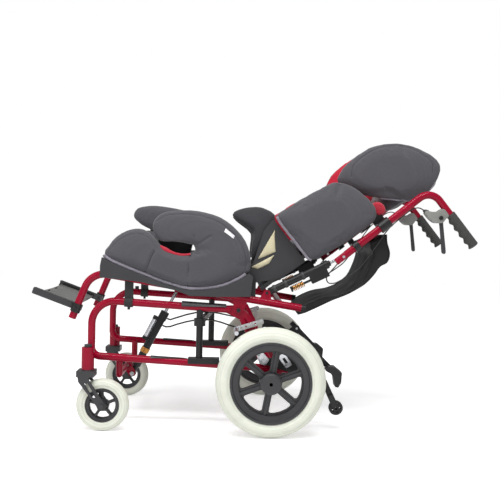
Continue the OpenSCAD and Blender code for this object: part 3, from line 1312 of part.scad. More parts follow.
module lever_left() { lever(-1); }
module lever_right() { lever(1); }

// Headrest: two ears and a back part, on a sliding stem
ear_y = 124;
head_from = [403, -125];
ear_shares = [[0, 0.87], [0.075, 0.955], [0.212, 1], [0.491, 0.982], [0.758, 0.798], [0.928, 0.525],
        [0.997, 0.269], [0.959, 0.112],
              [0.809, 0.018], [0.621, 0.004], [0.457, 0.054], [0.307, 0.224], [0.177, 0.404], [0.058, 0.628]];
ear_centre_share = [0.52, 0.5];
head_mid = [472, 686];
head_mid_v = [-112, -48];
head_mid_half = ear_y - ear_t / 4;
module headrest_pad() {
    size = [head_l, head_h];
    color(grey_cloth) on_back() difference() {
        union() {
            both_sides() pillow(smooth(placed(ear_shares, head_from, size)),
                    placed([ear_centre_share], head_from, size)[0], ear_y, ear_t);
            cushion(box_outline(head_mid[0], head_mid[1], head_mid_half, ear_t),
                    [(head_mid[0] + head_mid[1]) / 2, 0], head_mid_v[0], head_mid_v[1]);
        }
        translate([shell_top, 0, stem_v]) rotate([0, 90, 0])
                cylinder(h = stem_end - shell_top + seat_gap, d = head_stem_d + 2 * seat_gap);
    }
}
stem_end = 600;
stem_start = collar_u - guide_l - head_travel * 0.8;
module headrest_stem() {
    color(steel) on_back() translate([stem_start, 0, stem_v]) rotate([0, 90, 0])
            cylinder(h = stem_end - stem_start, d = head_stem_d);
}
module headrest_knob() {
    color(red) on_back() translate([collar_u, 0, stem_v]) rotate([0, 90, 0]) difference() {
        cylinder(h = collar_l, d = collar_d);
        translate([0, 0, -cut]) cylinder(h = collar_l + 2 * cut, d = head_stem_d + 2 * run_gap);
    }
}

// Cables of the tilt release
cable_d = 5;
cable_routes = [[[-336.5, -4, 279.3], [-326, -4, 275], [-312, -4, 276], [-290, -4, 284], [-262, -4, 292],
        [-240, -4, 297], [-216, -4, 300.2],
                 [-180, -6, 300.2], [-150, -34, 297], [-123, -72, 293], [-96, -118, 291], [-74, -150, 291],
                         [-66.1, -168.6, 291]],
                [[-323.4, 5, 300.7], [-313, 5, 297], [-296, 5, 303], [-262, 6, 314], [-232, 8, 321],
                        [-212, 10, 323.5], [-184, 11, 323.5],
                 [-158, 32, 318], [-123, 75, 306], [-94, 122, 296], [-74, 152, 292], [-66.1, 168.6, 291]]];
function tube_points(route, d, n = 8) = [for (i = [0:len(route) - 1])
    let (a = route[max(i - 1, 0)], b = route[min(i + 1, len(route) - 1)], t = (b - a) / norm(b - a),
         side = cross(t, [0, 1, 0]) / norm(cross(t, [0, 1, 0])), up = cross(side, t))
    for (k = [0:n - 1]) route[i] + d / 2 * (cos(360 * k / n) * side + sin(360 * k / n) * up)];
module swept(route, d, n = 8) {
    m = len(route);
    sides = [for (i = [0:m - 2]) for (j = [0:n - 1]) let (k = (j + 1) % n)
             for (f = [[i * n + j, i * n + k, (i + 1) * n + k],
                     [i * n + j, (i + 1) * n + k, (i + 1) * n + j]]) f];
    caps = [for (j = [1:n - 2]) for (f = [[0, j + 1, j], [(m - 1) * n, (m - 1) * n + j,
            (m - 1) * n + j + 1]]) f];
    polyhedron(tube_points(route, d, n), concat(sides, caps));
}
module cables() {
    color(black) from_axle() for (route = cable_routes) swept(route, cable_d);
}

side_frame_left();
side_frame_right();
cross_frame();
struts();
seat_stops();
slide_channels();
pivot_pins();
rear_axles();
anti_tip_arms();
brake_brackets();
fork_left();
fork_right();
caster_tyre_left();
caster_rim_left();
caster_tyre_right();
caster_rim_right();
tyre_left();
rim_left();
tyre_right();
rim_right();
roller_left();
roller_right();
brake_arm_left();
brake_arm_right();
cam_left();
cam_right();
link_left();
link_right();
pedal_left();
pedal_right();
tilt_cylinder();
tilt_rod();
recline_cylinder_left();
recline_rod_left();
recline_cylinder_right();
recline_rod_right();
seat_frame();
seat_pan();
seat_cushion();
seat_wing_left();
seat_wing_right();
seat_fittings();
foot_rails();
foot_sling();
back_shell();
back_pad();
hip_pads();
back_wings();
push_tubes();
tube_clamps();
back_bag();
grips();
lever_housings();
lever_left();
lever_right();
headrest_pad();
headrest_stem();
headrest_knob();
tube_bolts();
cables();
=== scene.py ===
import math

import bmesh
import bpy
import numpy as np
from mathutils import Matrix, Vector
from mathutils.bvhtree import BVHTree
from mathutils.kdtree import KDTree


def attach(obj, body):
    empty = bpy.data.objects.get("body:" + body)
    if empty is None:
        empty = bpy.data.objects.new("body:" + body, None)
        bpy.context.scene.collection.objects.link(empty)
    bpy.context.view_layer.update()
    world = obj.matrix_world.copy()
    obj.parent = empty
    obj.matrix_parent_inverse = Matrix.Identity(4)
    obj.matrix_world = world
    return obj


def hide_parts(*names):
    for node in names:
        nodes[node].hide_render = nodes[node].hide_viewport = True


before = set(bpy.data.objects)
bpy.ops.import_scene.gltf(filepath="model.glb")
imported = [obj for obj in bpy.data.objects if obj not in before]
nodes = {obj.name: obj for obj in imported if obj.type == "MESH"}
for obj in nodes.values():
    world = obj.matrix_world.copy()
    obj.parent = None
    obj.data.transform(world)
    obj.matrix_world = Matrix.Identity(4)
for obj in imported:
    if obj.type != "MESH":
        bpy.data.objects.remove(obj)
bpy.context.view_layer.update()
MM = 0.001
AXLE_X = 49.54

# Where the parts stand, in millimetres: x from the rear axle, y to the right, z up from the floor


def at(x, y, z):
    """A point of the row frame from millimetres measured from the rear axle."""
    return Vector(((x + AXLE_X) * MM, y * MM, z * MM))


def tilted(pivot, angle):
    """A map from a part's own line and height, and the side, to the row frame."""
    c, s = math.cos(math.radians(angle)), math.sin(math.radians(angle))
    return lambda a, b, y=0: at(pivot[0] + a * c + b * s, y, pivot[1] - a * s + b * c)


def lines_of(pivot, angle):
    """The way back from points of the row frame to a part's own line, height and side in millimetres."""
    c, s = math.cos(math.radians(angle)), math.sin(math.radians(angle))

    def read(co):
        x, z = co[:, 0] / MM - AXLE_X - pivot[0], co[:, 2] / MM - pivot[1]
        return x * c - z * s, x * s + z * c, co[:, 1] / MM

    return read


# Each part's own line: where it starts as seen from the side, and its slope in degrees
SEAT, BACK, FOOT = ((-95, 353), 8.8), ((-79.87, 437.68), -38.6), ((-572.93, 350.08), 20)
RECLINE, TILT = ((-12.08, 404.93), -26.34), ((-430, 125), -62.77)
on_seat, on_back, on_foot, on_recline, on_tilt = (tilted(*place) for place in (SEAT, BACK, FOOT, RECLINE, TILT))
seat_lines, back_lines, tilt_lines = (lines_of(*place) for place in (SEAT, BACK, TILT))

BOTH, NEAR_FAR = ((-1, "left"), (1, "right")), ((-1, "near"), (1, "far"))
TILT_X, TILT_Z = SEAT[0]  # the tilt pivot
HUB_Z = 157.5  # the rear wheels' middle
PUSH_Y = 178  # the side of the push tubes, the grips and the recline springs
GRIP_U, GRIP_START, GRIP_END = 606, -214, -333  # the grips' place on the backrest's line and height
LEVER_PIVOT = (575.5, -205)

# ---- Materials: colours from hex codes, shader nodes, and one function that makes a finish


def tint(code):
    """An sRGB hex colour as linear RGBA."""
    parts = [int(code[i : i + 2], 16) / 255 for i in (1, 3, 5)]
    return [c / 12.92 if c <= 0.04045 else ((c + 0.055) / 1.055) ** 2.4 for c in parts] + [1.0]


def add(tree, kind, settings=None, inputs=None):
    """Adds one shader node; an input is a value or another node's output."""
    node = tree.nodes.new("ShaderNode" + kind)
    for key, value in (settings or {}).items():
        setattr(node, key, value)
    for key, value in (inputs or {}).items():
        if isinstance(value, bpy.types.NodeSocket):
            tree.links.new(value, node.inputs[key])
        else:
            node.inputs[key].default_value = value
    return node


def shade(code, factor):
    """The same colour, lighter or darker."""
    return [min(1.0, c * factor) for c in tint(code)[:3]] + [1.0]


def finish(name, colour, roughness, sockets=None, tone=0.08, tone_mm=70, grain_mm=1.0, grain=0.25,
           depth_mm=0.15, rub=None, pattern=None, rough_spread=0.08):
    """A surface finish: slow change of tone and roughness, fine grain in its relief, rubbed edges, and a pattern.

    pattern(tree, place) gives a height from 0 to 1 and how much lighter its high places are; its low places, the
    grooves, eyelets and gaps between threads, are darkened with painted shade.
    rub is (colour, radius in mm, amount)."""
    mat = bpy.data.materials.new(name)
    mat.use_nodes = True
    tree = mat.node_tree
    shader = tree.nodes["Principled BSDF"]
    place = add(tree, "TexCoord").outputs["Object"]
    patch = add(tree, "TexNoise", None, {"Vector": place, "Scale": 1000 / tone_mm, "Detail": 3.0, "Roughness": 0.6})
    fine = add(tree, "TexNoise", None, {"Vector": place, "Scale": 1000 / grain_mm, "Detail": 2.0})
    ramp = add(tree, "ValToRGB", None, {"Fac": patch.outputs["Fac"]})
    ramp.color_ramp.elements[0].position, ramp.color_ramp.elements[0].color = 0.3, shade(colour, 1 - tone)
    ramp.color_ramp.elements[1].position, ramp.color_ramp.elements[1].color = 0.7, shade(colour, 1 + tone)
    colour_out = ramp.outputs["Color"]
    height = fine.outputs["Fac"]
    if pattern:
        high, lift = pattern(tree, place)
        # Painted shade: the colour is darkened in the pattern's low places
        light = add(tree, "MapRange", None, {"Value": high, "To Min": 1 - lift, "To Max": 1.0})
        colour_out = add(tree, "VectorMath", {"operation": "SCALE"},
                         {0: colour_out, "Scale": light.outputs[0]}).outputs[0]
        height = add(tree, "Math", {"operation": "MULTIPLY_ADD"}, {0: height, 1: grain, 2: high}).outputs[0]
    rounded = add(tree, "Bevel", {"samples": 3}, {"Radius": (rub[1] if rub else 0.6) * MM})
    if rub:
        flat = add(tree, "NewGeometry").outputs["Normal"]
        turn = add(tree, "VectorMath", {"operation": "DOT_PRODUCT"}, {0: rounded.outputs[0], 1: flat})
        edge = add(tree, "MapRange", None, {"Value": turn.outputs["Value"], "From Min": 0.97, "From Max": 0.8})
        worn = add(tree, "MapRange", None,
                   {"Value": patch.outputs["Fac"], "From Min": 0.35, "From Max": 0.65, "To Max": rub[2]})
        share = add(tree, "Math", {"operation": "MULTIPLY"}, {0: edge.outputs[0], 1: worn.outputs[0]})
        colour_out = add(tree, "Mix", {"data_type": "RGBA"},
                         {0: share.outputs[0], 6: colour_out, 7: tint(rub[0])}).outputs[2]
    rough = add(tree, "MapRange", None, {"Value": patch.outputs["Fac"], "From Min": 0.3, "From Max": 0.7,
                                         "To Min": max(0.02, roughness - rough_spread),
                                         "To Max": min(1, roughness + rough_spread)})
    bump = add(tree, "Bump", None, {"Strength": 1.0 if pattern else grain, "Distance": depth_mm * MM,
                                    "Height": height, "Normal": rounded.outputs[0]})
    tree.links.new(colour_out, shader.inputs["Base Color"])
    tree.links.new(rough.outputs[0], shader.inputs["Roughness"])
    tree.links.new(bump.outputs[0], shader.inputs["Normal"])
    for key, value in (sockets or {}).items():
        shader.inputs[key].default_value = value
    return mat


def knit(tree, place):
    """Spacer knit: rows of small eyelets 3 mm apart, drawn a little coarser than the real 2 mm so that they show."""
    cells = add(tree, "TexVoronoi", {"feature": "SMOOTH_F1"},
                {"Vector": place, "Scale": 1000 / 3.0, "Randomness": 0.35, "Smoothness": 0.3})
    eyelet = add(tree, "MapRange", None, {"Value": cells.outputs["Distance"], "From Min": 0.15, "From Max": 0.55})
    return eyelet.outputs[0], 0.16


def weave(tree, place):
    """Plain weave: crossing threads 3.8 mm apart, drawn coarser than the real 0.5 mm."""
    out = None
    for axis in ("X", "Y", "Z"):
        thread = add(tree, "TexWave", {"bands_direction": axis},
                     {"Vector": place, "Scale": 1000 / 1.2 / 20 * 2, "Distortion": 0.4, "Detail": 1.0})
        out = thread.outputs["Fac"] if out is None else \
            add(tree, "Math", {"operation": "MAXIMUM"}, {0: out, 1: thread.outputs["Fac"]}).outputs[0]
    return out, 0.3


def cord_twist(tree, place):
    """Corded edging: slanting ribs 1.3 mm apart, along the piece's own length."""
    along = add(tree, "UVMap").outputs["UV"]
    ribs = add(tree, "TexWave", {"bands_direction": "DIAGONAL"}, {"Vector": along, "Scale": 0.5, "Distortion": 0.2})
    return ribs.outputs["Fac"], 0.2


def tread(tree, place):
    """Moulded grooves round the tyre, 4 mm apart, by their distance from the object's origin along the axle."""
    spread = add(tree, "SeparateXYZ", None, {"Vector": place})
    side = add(tree, "Math", {"operation": "ABSOLUTE"}, {0: spread.outputs["Y"]})
    groove = add(tree, "Math", {"operation": "PINGPONG"}, {0: side.outputs[0], 1: 2.0 * MM})
    return add(tree, "MapRange", {"interpolation_type": "SMOOTHSTEP"},
               {"Value": groove.outputs[0], "From Min": 0.2 * MM, "From Max": 0.8 * MM}).outputs[0], 0.12


def coil_lines(tree, place):
    """Fine rings left by turning and drawing the steel."""
    lines = add(tree, "Mapping", None, {"Vector": place, "Scale": (40.0, 900.0, 40.0)})
    return add(tree, "TexNoise", None, {"Vector": lines.outputs[0], "Scale": 1.0, "Detail": 2.0}).outputs["Fac"], 0.1


# Steel tube in deep red enamel: a clear, wet gloss over a slightly uneven colour, paler where it is rubbed at edges
red_enamel = finish("red enamel on steel tube", "#8F0326", 0.32,
                    {"Coat Weight": 0.3, "Coat Roughness": 0.08, "Specular IOR Level": 0.02}, tone_mm=120,
                    grain_mm=4, grain=0.12, depth_mm=0.05, rub=("#B23A52", 1.0, 0.2), rough_spread=0.05)
# Steel in black powder coat: satin, a fine orange peel that dulls reflections
powder_black = finish("black powder coat on steel", "#141416", 0.42, {"Specular IOR Level": 0.35}, tone=0.12,
                      grain_mm=0.9, grain=0.4, depth_mm=0.08, rub=("#55555A", 0.8, 0.5))
# Glass-filled nylon, moulded: dark, dry sheen, with a sandy grain
nylon = finish("moulded glass-filled nylon", "#27272A", 0.5, {"IOR": 1.53}, tone=0.1, grain_mm=0.7, grain=0.5,
               depth_mm=0.09, rub=("#6A6A6C", 0.9, 0.5))
# Grey acetal housing, moulded: slightly waxy
acetal = finish("moulded grey acetal", "#7E7E7B", 0.42, {"IOR": 1.48}, grain_mm=0.8, grain=0.3, depth_mm=0.06,
                rub=("#A2A29E", 0.9, 0.4))
# Foam rubber of the hand grips: dull, full of tiny pores
foam_rubber = finish("foam rubber grip", "#3A3A39", 0.85, {"IOR": 1.5}, tone=0.12, tone_mm=30, grain_mm=1.3,
                     grain=0.9, depth_mm=0.35)
# Solid grey-green polyurethane tyre: pale, soft sheen, grooves moulded round it
tyre_pu = finish("polyurethane tyre", "#D9DCCF", 0.55,
                 {"IOR": 1.5, "Subsurface Weight": 0.05, "Subsurface Scale": 0.004}, tone=0.05, tone_mm=45,
                 grain_mm=2, grain=0.3, depth_mm=0.35, pattern=tread)
# Black rubber of the stops and rollers
rubber = finish("black moulded rubber", "#191919", 0.7, {"IOR": 1.52}, tone=0.15, grain_mm=1.1, grain=0.5,
                depth_mm=0.12)
# Zinc-plated turned steel: bright, faintly blue, with turning lines
zinc = finish("zinc-plated steel", "#C9CBCF", 0.28, {"Metallic": 1.0}, tone=0.06, tone_mm=20, grain_mm=0.6,
              grain=0.4, depth_mm=0.02, pattern=coil_lines)
# Hard chrome on the gas spring rods: almost a mirror
chrome = finish("hard chrome rod", "#96989C", 0.16, {"Metallic": 1.0}, tone=0.03, tone_mm=20, grain_mm=0.5,
                grain=0.2, depth_mm=0.01, rough_spread=0.04)
# Aluminium links, tumbled: pale and matt
aluminium = finish("tumbled aluminium", "#C9C9C6", 0.38, {"Metallic": 0.9}, tone=0.06, tone_mm=15, grain_mm=0.8,
                   grain=0.4, depth_mm=0.04)
# Brass-plated spring wire
copper_wire = finish("brass-plated spring wire", "#DCA35C", 0.26, {"Metallic": 1.0}, tone=0.1, tone_mm=8,
                     grain_mm=0.6, grain=0.3, depth_mm=0.02)
# Spacer knit of the pads: grey polyester, matt, with a soft sheen at grazing angles
CLOTH_SHEEN = {"Sheen Weight": 0.25, "Sheen Roughness": 0.45, "IOR": 1.45}


def pad_cloth(name, colour, lining=None):
    """Knitted pad cloth: darker at sewn lines, by the attribute 'seam', and a lining where 'lining' is above 0."""
    mat = finish(name, colour, 0.86, CLOTH_SHEEN, tone=0.05, tone_mm=90, grain_mm=1.2, grain=0.5,
                 depth_mm=0.35, pattern=knit)
    tree = mat.node_tree
    shader = tree.nodes["Principled BSDF"]
    cloth = shader.inputs["Base Color"].links[0].from_socket
    if lining:
        mark = add(tree, "Attribute", {"attribute_name": "lining"})
        side = add(tree, "MapRange", None, {"Value": mark.outputs["Fac"], "From Min": -0.0004, "From Max": 0.0004})
        cloth = add(tree, "Mix", {"data_type": "RGBA"}, {0: side.outputs[0], 6: cloth, 7: tint(lining)}).outputs[2]
    seam = add(tree, "Attribute", {"attribute_name": "seam"})
    dark = add(tree, "MapRange", None,
               {"Value": seam.outputs["Fac"], "From Min": 0.35, "From Max": 1.0, "To Max": 0.75})
    out = add(tree, "Mix", {"data_type": "RGBA"}, {0: dark.outputs[0], 6: cloth, 7: shade(colour, 0.2)})
    tree.links.new(out.outputs[2], shader.inputs["Base Color"])
    return mat


grey_knit = pad_cloth("grey spacer knit", "#4A494E")
lined_knit = pad_cloth("grey spacer knit with red lining", "#4A494E", "#B0122E")
# Knit of the hip supports: partly the cloth's own darker colour, partly painted shade
shaded_dark_knit = pad_cloth("dark spacer knit with painted shade", "#323135")
# Corded edging sewn round the pads: mauve grey
edging = finish("corded edging", "#8D8894", 0.75, {"Sheen Weight": 0.2}, tone=0.06, depth_mm=0.3,
                pattern=cord_twist)
# Black oxide on the clamp bolts: dark, oily, almost matt
black_oxide = finish("black oxide bolt steel", "#2A2A2C", 0.45, {"Metallic": 0.6}, tone=0.1, tone_mm=12,
                     grain_mm=0.7, grain=0.4, depth_mm=0.03)
# Dark brushed lining cloth of the slit: swallows the light
slit_cloth = finish("black brushed polyester", "#0E0E0F", 0.9, {"Sheen Weight": 0.1}, tone=0.1, tone_mm=40,
                    depth_mm=0.2, pattern=weave)
# Red edging and lining, brushed polyester
red_cloth = finish("red brushed polyester", "#B0122E", 0.8, {"Sheen Weight": 0.3}, depth_mm=0.2, pattern=weave)
# Cream lining of the hip support, satin polyester
cream_cloth = finish("cream satin polyester", "#CFC6A4", 0.6, {"Sheen Weight": 0.2}, tone_mm=25, pattern=weave)
white_tape = finish("white woven tape", "#E6E5EA", 0.7, tone=0.03, depth_mm=0.1, pattern=weave)
# Black nylon pack cloth of the bag: thin, with a slight shine on its folds
pack_cloth = finish("black nylon pack cloth", "#131314", 0.62,
                    {"Sheen Weight": 0.05, "IOR": 1.5, "Specular IOR Level": 0.3}, tone=0.12, tone_mm=60,
                    depth_mm=0.12, pattern=weave)
# Grey coated cloth of the footrest sling: smooth, slightly waxy
sling_cloth = finish("grey coated sling cloth", "#636361", 0.55, {"IOR": 1.48}, tone=0.12, tone_mm=40,
                     pattern=weave)
# Black sheath of the control cables
sheath = finish("black cable sheath", "#1C1C1C", 0.45, {"IOR": 1.5}, tone=0.1, tone_mm=20, grain_mm=0.8,
                grain=0.3, depth_mm=0.05)

dress = {
    red_enamel: ["side_frame_left", "side_frame_right", "cross_frame", "seat_frame", "push_tubes", "headrest_knob"],
    powder_black: ["struts", "anti_tip_arms", "brake_brackets", "tilt_cylinder", "recline_cylinder_left",
                   "recline_cylinder_right", "seat_fittings", "tube_clamps", "pedal_left", "pedal_right"],
    nylon: ["slide_channels", "rim_left", "rim_right", "caster_rim_left", "caster_rim_right", "fork_left",
            "fork_right", "foot_rails", "back_shell", "seat_pan", "lever_left", "lever_right"],
    acetal: ["lever_housings"],
    foam_rubber: ["grips"],
    tyre_pu: ["tyre_left", "tyre_right", "caster_tyre_left", "caster_tyre_right"],
    rubber: ["seat_stops", "roller_left", "roller_right"],
    zinc: ["pivot_pins", "rear_axles", "brake_arm_left", "brake_arm_right", "cam_left", "cam_right", "tube_bolts"],
    chrome: ["tilt_rod", "recline_rod_left", "recline_rod_right", "headrest_stem"],
    aluminium: ["link_left", "link_right"],
    pack_cloth: ["back_bag"],
    sling_cloth: ["foot_sling"],
    sheath: ["cables"],
    grey_knit: ["seat_cushion", "seat_wing_left", "seat_wing_right", "back_pad", "back_wings", "hip_pads",
                "headrest_pad"],
}


def dressed(mesh, mat):
    """Gives a mesh one material alone."""
    mesh.materials.clear()
    mesh.materials.append(mat)


for mat, names in dress.items():
    for name in names:
        dressed(nodes[name].data, mat)


def repaint(name, mat, where):
    """Gives the faces of a CAD node whose centres pass the test a second material."""
    mesh = nodes[name].data
    mesh.materials.append(mat)
    centre = np.empty(len(mesh.polygons) * 3, np.float32)
    mesh.polygons.foreach_get("center", centre)
    index = np.where(where(centre.reshape(-1, 3).astype(float)), len(mesh.materials) - 1, 0)
    old = np.empty(len(mesh.polygons), np.int32)
    mesh.polygons.foreach_get("material_index", old)
    mesh.polygons.foreach_set("material_index", np.where(index > 0, index, old).astype(np.int32))
    mesh.update()


# The tilt pivot's bosses are red, the backrest's upper bolts dark; the tilt spring's side tube is plated
BOSS_R, DARK_BOLTS_U = 16, 300
SIDE_TUBE = (155, 32, 18.8, 8.2)  # its middle and half length along the spring, its height above it, its radius


def in_side_tube(co):
    along, above, side = tilt_lines(co)
    middle, half, height, radius = SIDE_TUBE
    return (np.hypot(above - height, side) < radius) & (np.abs(along - middle) < half)


repaint("pivot_pins", red_enamel,
        lambda co: np.hypot(co[:, 0] / MM - AXLE_X - TILT_X, co[:, 2] / MM - TILT_Z) < BOSS_R)
repaint("tube_bolts", black_oxide, lambda co: back_lines(co)[0] > DARK_BOLTS_U)
repaint("tilt_cylinder", zinc, in_side_tube)

# ---- Helpers for new pieces


def alone(obj):
    """Selects one object and makes it active."""
    bpy.ops.object.select_all(action="DESELECT")
    obj.select_set(True)
    bpy.context.view_layer.objects.active = obj


def piece(name, mesh, mat):
    """A new object at the origin with its own mesh and material."""
    obj = bpy.data.objects.new(name, mesh)
    bpy.context.scene.collection.objects.link(obj)
    dressed(mesh, mat)
    return obj


def joined(name, pieces):
    """Joins pieces into the first of them, which takes the name."""
    alone(pieces[0])
    for obj in pieces[1:]:
        obj.select_set(True)
    bpy.ops.object.join()
    pieces[0].name = name


def grid_sheet(name, across, along):
    """A flat grid whose points are then placed one by one."""
    bpy.ops.object.select_all(action="DESELECT")
    bpy.ops.mesh.primitive_grid_add(x_subdivisions=across, y_subdivisions=along, size=1)
    obj = bpy.context.object
    obj.name = name
    return obj


def smooth_shaded(obj):
    obj.data.polygons.foreach_set("use_smooth", [True] * len(obj.data.polygons))


def thickened(obj, millimetres):
    """Gives a sheet its thickness, half to each side."""
    thick = obj.modifiers.new("Cloth thickness", "SOLIDIFY")
    thick.thickness, thick.offset = millimetres * MM, 0
    alone(obj)
    bpy.ops.object.modifier_apply(modifier=thick.name)
    smooth_shaded(obj)


def closed_up(obj, merge=None):
    """Fills open rims and turns the faces outwards; points closer than merge, in metres, become one first."""
    bm = bmesh.new()
    bm.from_mesh(obj.data)
    if merge:
        bmesh.ops.remove_doubles(bm, verts=bm.verts, dist=merge)
    bmesh.ops.holes_fill(bm, edges=[e for e in bm.edges if e.is_boundary])
    bmesh.ops.recalc_face_normals(bm, faces=bm.faces)
    bm.to_mesh(obj.data)
    bm.free()


def points_of(obj):
    co = np.empty(len(obj.data.vertices) * 3, np.float32)
    obj.data.vertices.foreach_get("co", co)
    return co.reshape(-1, 3).astype(float)


def move_to(obj, co):
    obj.data.vertices.foreach_set("co", co.astype(np.float32).ravel())
    obj.data.update()


def normals_of(obj):
    no = np.empty(len(obj.data.vertices) * 3, np.float32)
    obj.data.vertex_normals.foreach_get("vector", no)
    return no.reshape(-1, 3).astype(float)


def rounder(points, count, closed=False):
    """A smooth run of points through the given ones, evenly spaced."""
    p = [Vector(q) for q in points]
    n = len(p)
    spans = n if closed else n - 1
    fine = []
    for i in range(spans):
        a, b, c, d = (p[(i + k) % n] if closed else p[min(max(i + k, 0), n - 1)] for k in (-1, 0, 1, 2))
        for j in range(12):
            t = j / 12
            fine.append((2 * b + (c - a) * t + (2 * a - 5 * b + 4 * c - d) * t**2 + (3 * b - a - 3 * c + d) * t**3) / 2)
    fine.append(fine[0].copy() if closed else p[-1].copy())
    steps = np.cumsum([0] + [(fine[i + 1] - fine[i]).length for i in range(len(fine) - 1)])
    where = np.linspace(0, steps[-1], count + 1 if closed else count)
    xyz = np.array([list(q) for q in fine])
    out = np.stack([np.interp(where, steps, xyz[:, k]) for k in range(3)], 1)
    return out[:-1] if closed else out


def tube(name, points, radius, mat, sides=10, swell=None):
    """A round cord along points: a curve with a bevel, made a mesh, with its length in its UV map."""
    bpy.ops.object.select_all(action="DESELECT")
    bpy.ops.curve.primitive_bezier_curve_add()
    obj = bpy.context.object
    obj.name = name
    curve = obj.data
    curve.splines.clear()
    line = curve.splines.new("POLY")
    line.points.add(len(points) - 1)
    for i, (spot, co) in enumerate(zip(line.points, points)):
        spot.co = (*co, 1)
        spot.radius = 1.0 if swell is None else float(np.interp(i / (len(points) - 1), *zip(*swell)))
    curve.dimensions = "3D"
    curve.bevel_depth = radius
    curve.bevel_resolution = sides // 4 - 1
    curve.use_fill_caps = True
    alone(obj)
    bpy.ops.object.convert(target="MESH")
    obj = bpy.context.object
    obj.data.transform(obj.matrix_world)
    obj.matrix_world = Matrix.Identity(4)
    bm = bmesh.new()
    bm.from_mesh(obj.data)
    bmesh.ops.remove_doubles(bm, verts=bm.verts, dist=radius * 0.02)
    bmesh.ops.recalc_face_normals(bm, faces=bm.faces)
    layer = bm.loops.layers.uv.verify()
    path = np.array([list(q) for q in points])
    length = np.cumsum([0] + list(np.linalg.norm(np.diff(path, axis=0), axis=1)))
    finder = KDTree(len(path))
    for i, q in enumerate(path):
        finder.insert(Vector(q), i)
    finder.balance()
    for face in bm.faces:
        face.smooth = True
        for loop in face.loops:
            _, i, _ = finder.find(loop.vert.co)
            d = loop.vert.co - Vector(path[i])
            loop[layer].uv = (length[i] * 1000, math.atan2(d.z, d.y) * radius * 1000)
    bm.to_mesh(obj.data)
    bm.free()
    dressed(obj.data, mat)
    return obj


# ---- Pads: copies of the padded solids, remeshed and blown up by a cloth simulation

pads = []


def pad(name, sources, body, mat, voxel=5.0, cap=6.0, slim=2.5, fill=0.7, pressure=4.0, rounds=2):
    """A stuffed copy of padded solids: voxel remesh, slimmed, then blown up, no point further than cap.

    Sizes are in millimetres; rounds is how often the skin is smoothed."""
    bm = bmesh.new()
    for source in sources:
        bm.from_mesh(nodes[source].data)
    bmesh.ops.remove_doubles(bm, verts=bm.verts, dist=0.02 * MM)
    mesh = bpy.data.meshes.new(name)
    bm.to_mesh(mesh)
    bm.free()
    obj = piece(name, mesh, mat)
    alone(obj)
    obj.data.remesh_voxel_size = voxel * MM
    bpy.ops.object.voxel_remesh()
    bm = bmesh.new()
    bm.from_mesh(obj.data)
    for _ in range(rounds):
        bmesh.ops.smooth_vert(bm, verts=bm.verts, factor=0.5, use_axis_x=True, use_axis_y=True, use_axis_z=True)
    bm.to_mesh(obj.data)
    bm.free()
    move_to(obj, points_of(obj) - normals_of(obj) * slim * MM)
    dressed(obj.data, mat)
    pads.append({"obj": obj, "body": body, "sources": sources, "cap": cap * MM, "fill": fill, "start": points_of(obj),
                 "pressure": pressure})
    return obj


seat_cushion = pad("seat_cushion_pad", ["seat_cushion"], "seat", grey_knit)
wing_near = pad("seat_wing_pad_near", ["seat_wing_left"], "seat", grey_knit, voxel=4.5, slim=1.0, rounds=1)
wing_far = pad("seat_wing_pad_far", ["seat_wing_right"], "seat", grey_knit, voxel=4.5, slim=1.0, rounds=1)
back_pad = pad("backrest_pad", ["back_pad"], "back", lined_knit)
back_wings = pad("back_wing_pads", ["back_wings"], "back", lined_knit)
# The hip supports wear the dark knit, its colour partly painted shade
pad("hip_support_pads", ["hip_pads"], "back", shaded_dark_knit, cap=9, slim=0.5, pressure=7, rounds=1)
headrest = pad("headrest_soft_pad", ["headrest_pad"], "headrest", lined_knit)
WINGS = ((wing_near, -1, "near"), (wing_far, 1, "far"))
CLOTH_FRAMES = 20

for item in pads:
    cloth = item["obj"].modifiers.new("Stuffing", "CLOTH")
    cloth.settings.quality = 4
    cloth.settings.mass = 0.2
    cloth.settings.tension_stiffness = cloth.settings.compression_stiffness = 18
    cloth.settings.bending_stiffness = 0.8
    cloth.settings.use_pressure = True
    cloth.settings.uniform_pressure_force = item["pressure"]
    cloth.settings.effector_weights.gravity = 0
    cloth.collision_settings.use_collision = False
    cloth.point_cache.frame_start, cloth.point_cache.frame_end = 1, CLOTH_FRAMES
for step in range(1, CLOTH_FRAMES + 1):
    bpy.context.scene.frame_set(step)
graph = bpy.context.evaluated_depsgraph_get()
for item in pads:
    move = points_of(item["obj"].evaluated_get(graph)) - item["start"]
    far = np.linalg.norm(move, axis=1, keepdims=True)
    item["end"] = item["start"] + move * np.minimum(1, item["cap"] / np.maximum(far, 1e-9))
for item in pads:
    item["obj"].modifiers.clear()
    move_to(item["obj"], item["end"])
bpy.context.scene.frame_set(1)

# The seat wings' rims hang a little fuller along their lower and rear edges
for obj in (wing_near, wing_far):
    co, out = points_of(obj), normals_of(obj)
    along, above, _ = seat_lines(co)
    low = np.clip((112 - above) / 40, 0, 1) * np.clip(-(out @ np.array(on_seat(0, 1) - on_seat(0, 0))) / MM, 0, 1)
    rear = np.clip((along + 45) / 30, 0, 1) * np.clip((out @ np.array(on_seat(1, 0) - on_seat(0, 0))) / MM, 0, 1)
    move_to(obj, co + out * (np.maximum(low, rear) * 4.5 * MM)[:, None])

for item in pads:
    obj = item["obj"]
    alone(obj)
    smooth = obj.modifiers.new("Smooth skin", "SUBSURF")
    smooth.levels = smooth.render_levels = 1
    bpy.ops.object.modifier_apply(modifier=smooth.name)
    smooth_shaded(obj)
    item["tree"] = BVHTree.FromPolygons([v.co for v in obj.data.vertices], [p.vertices for p in obj.data.polygons])
skin = {item["obj"].name: item["tree"] for item in pads}


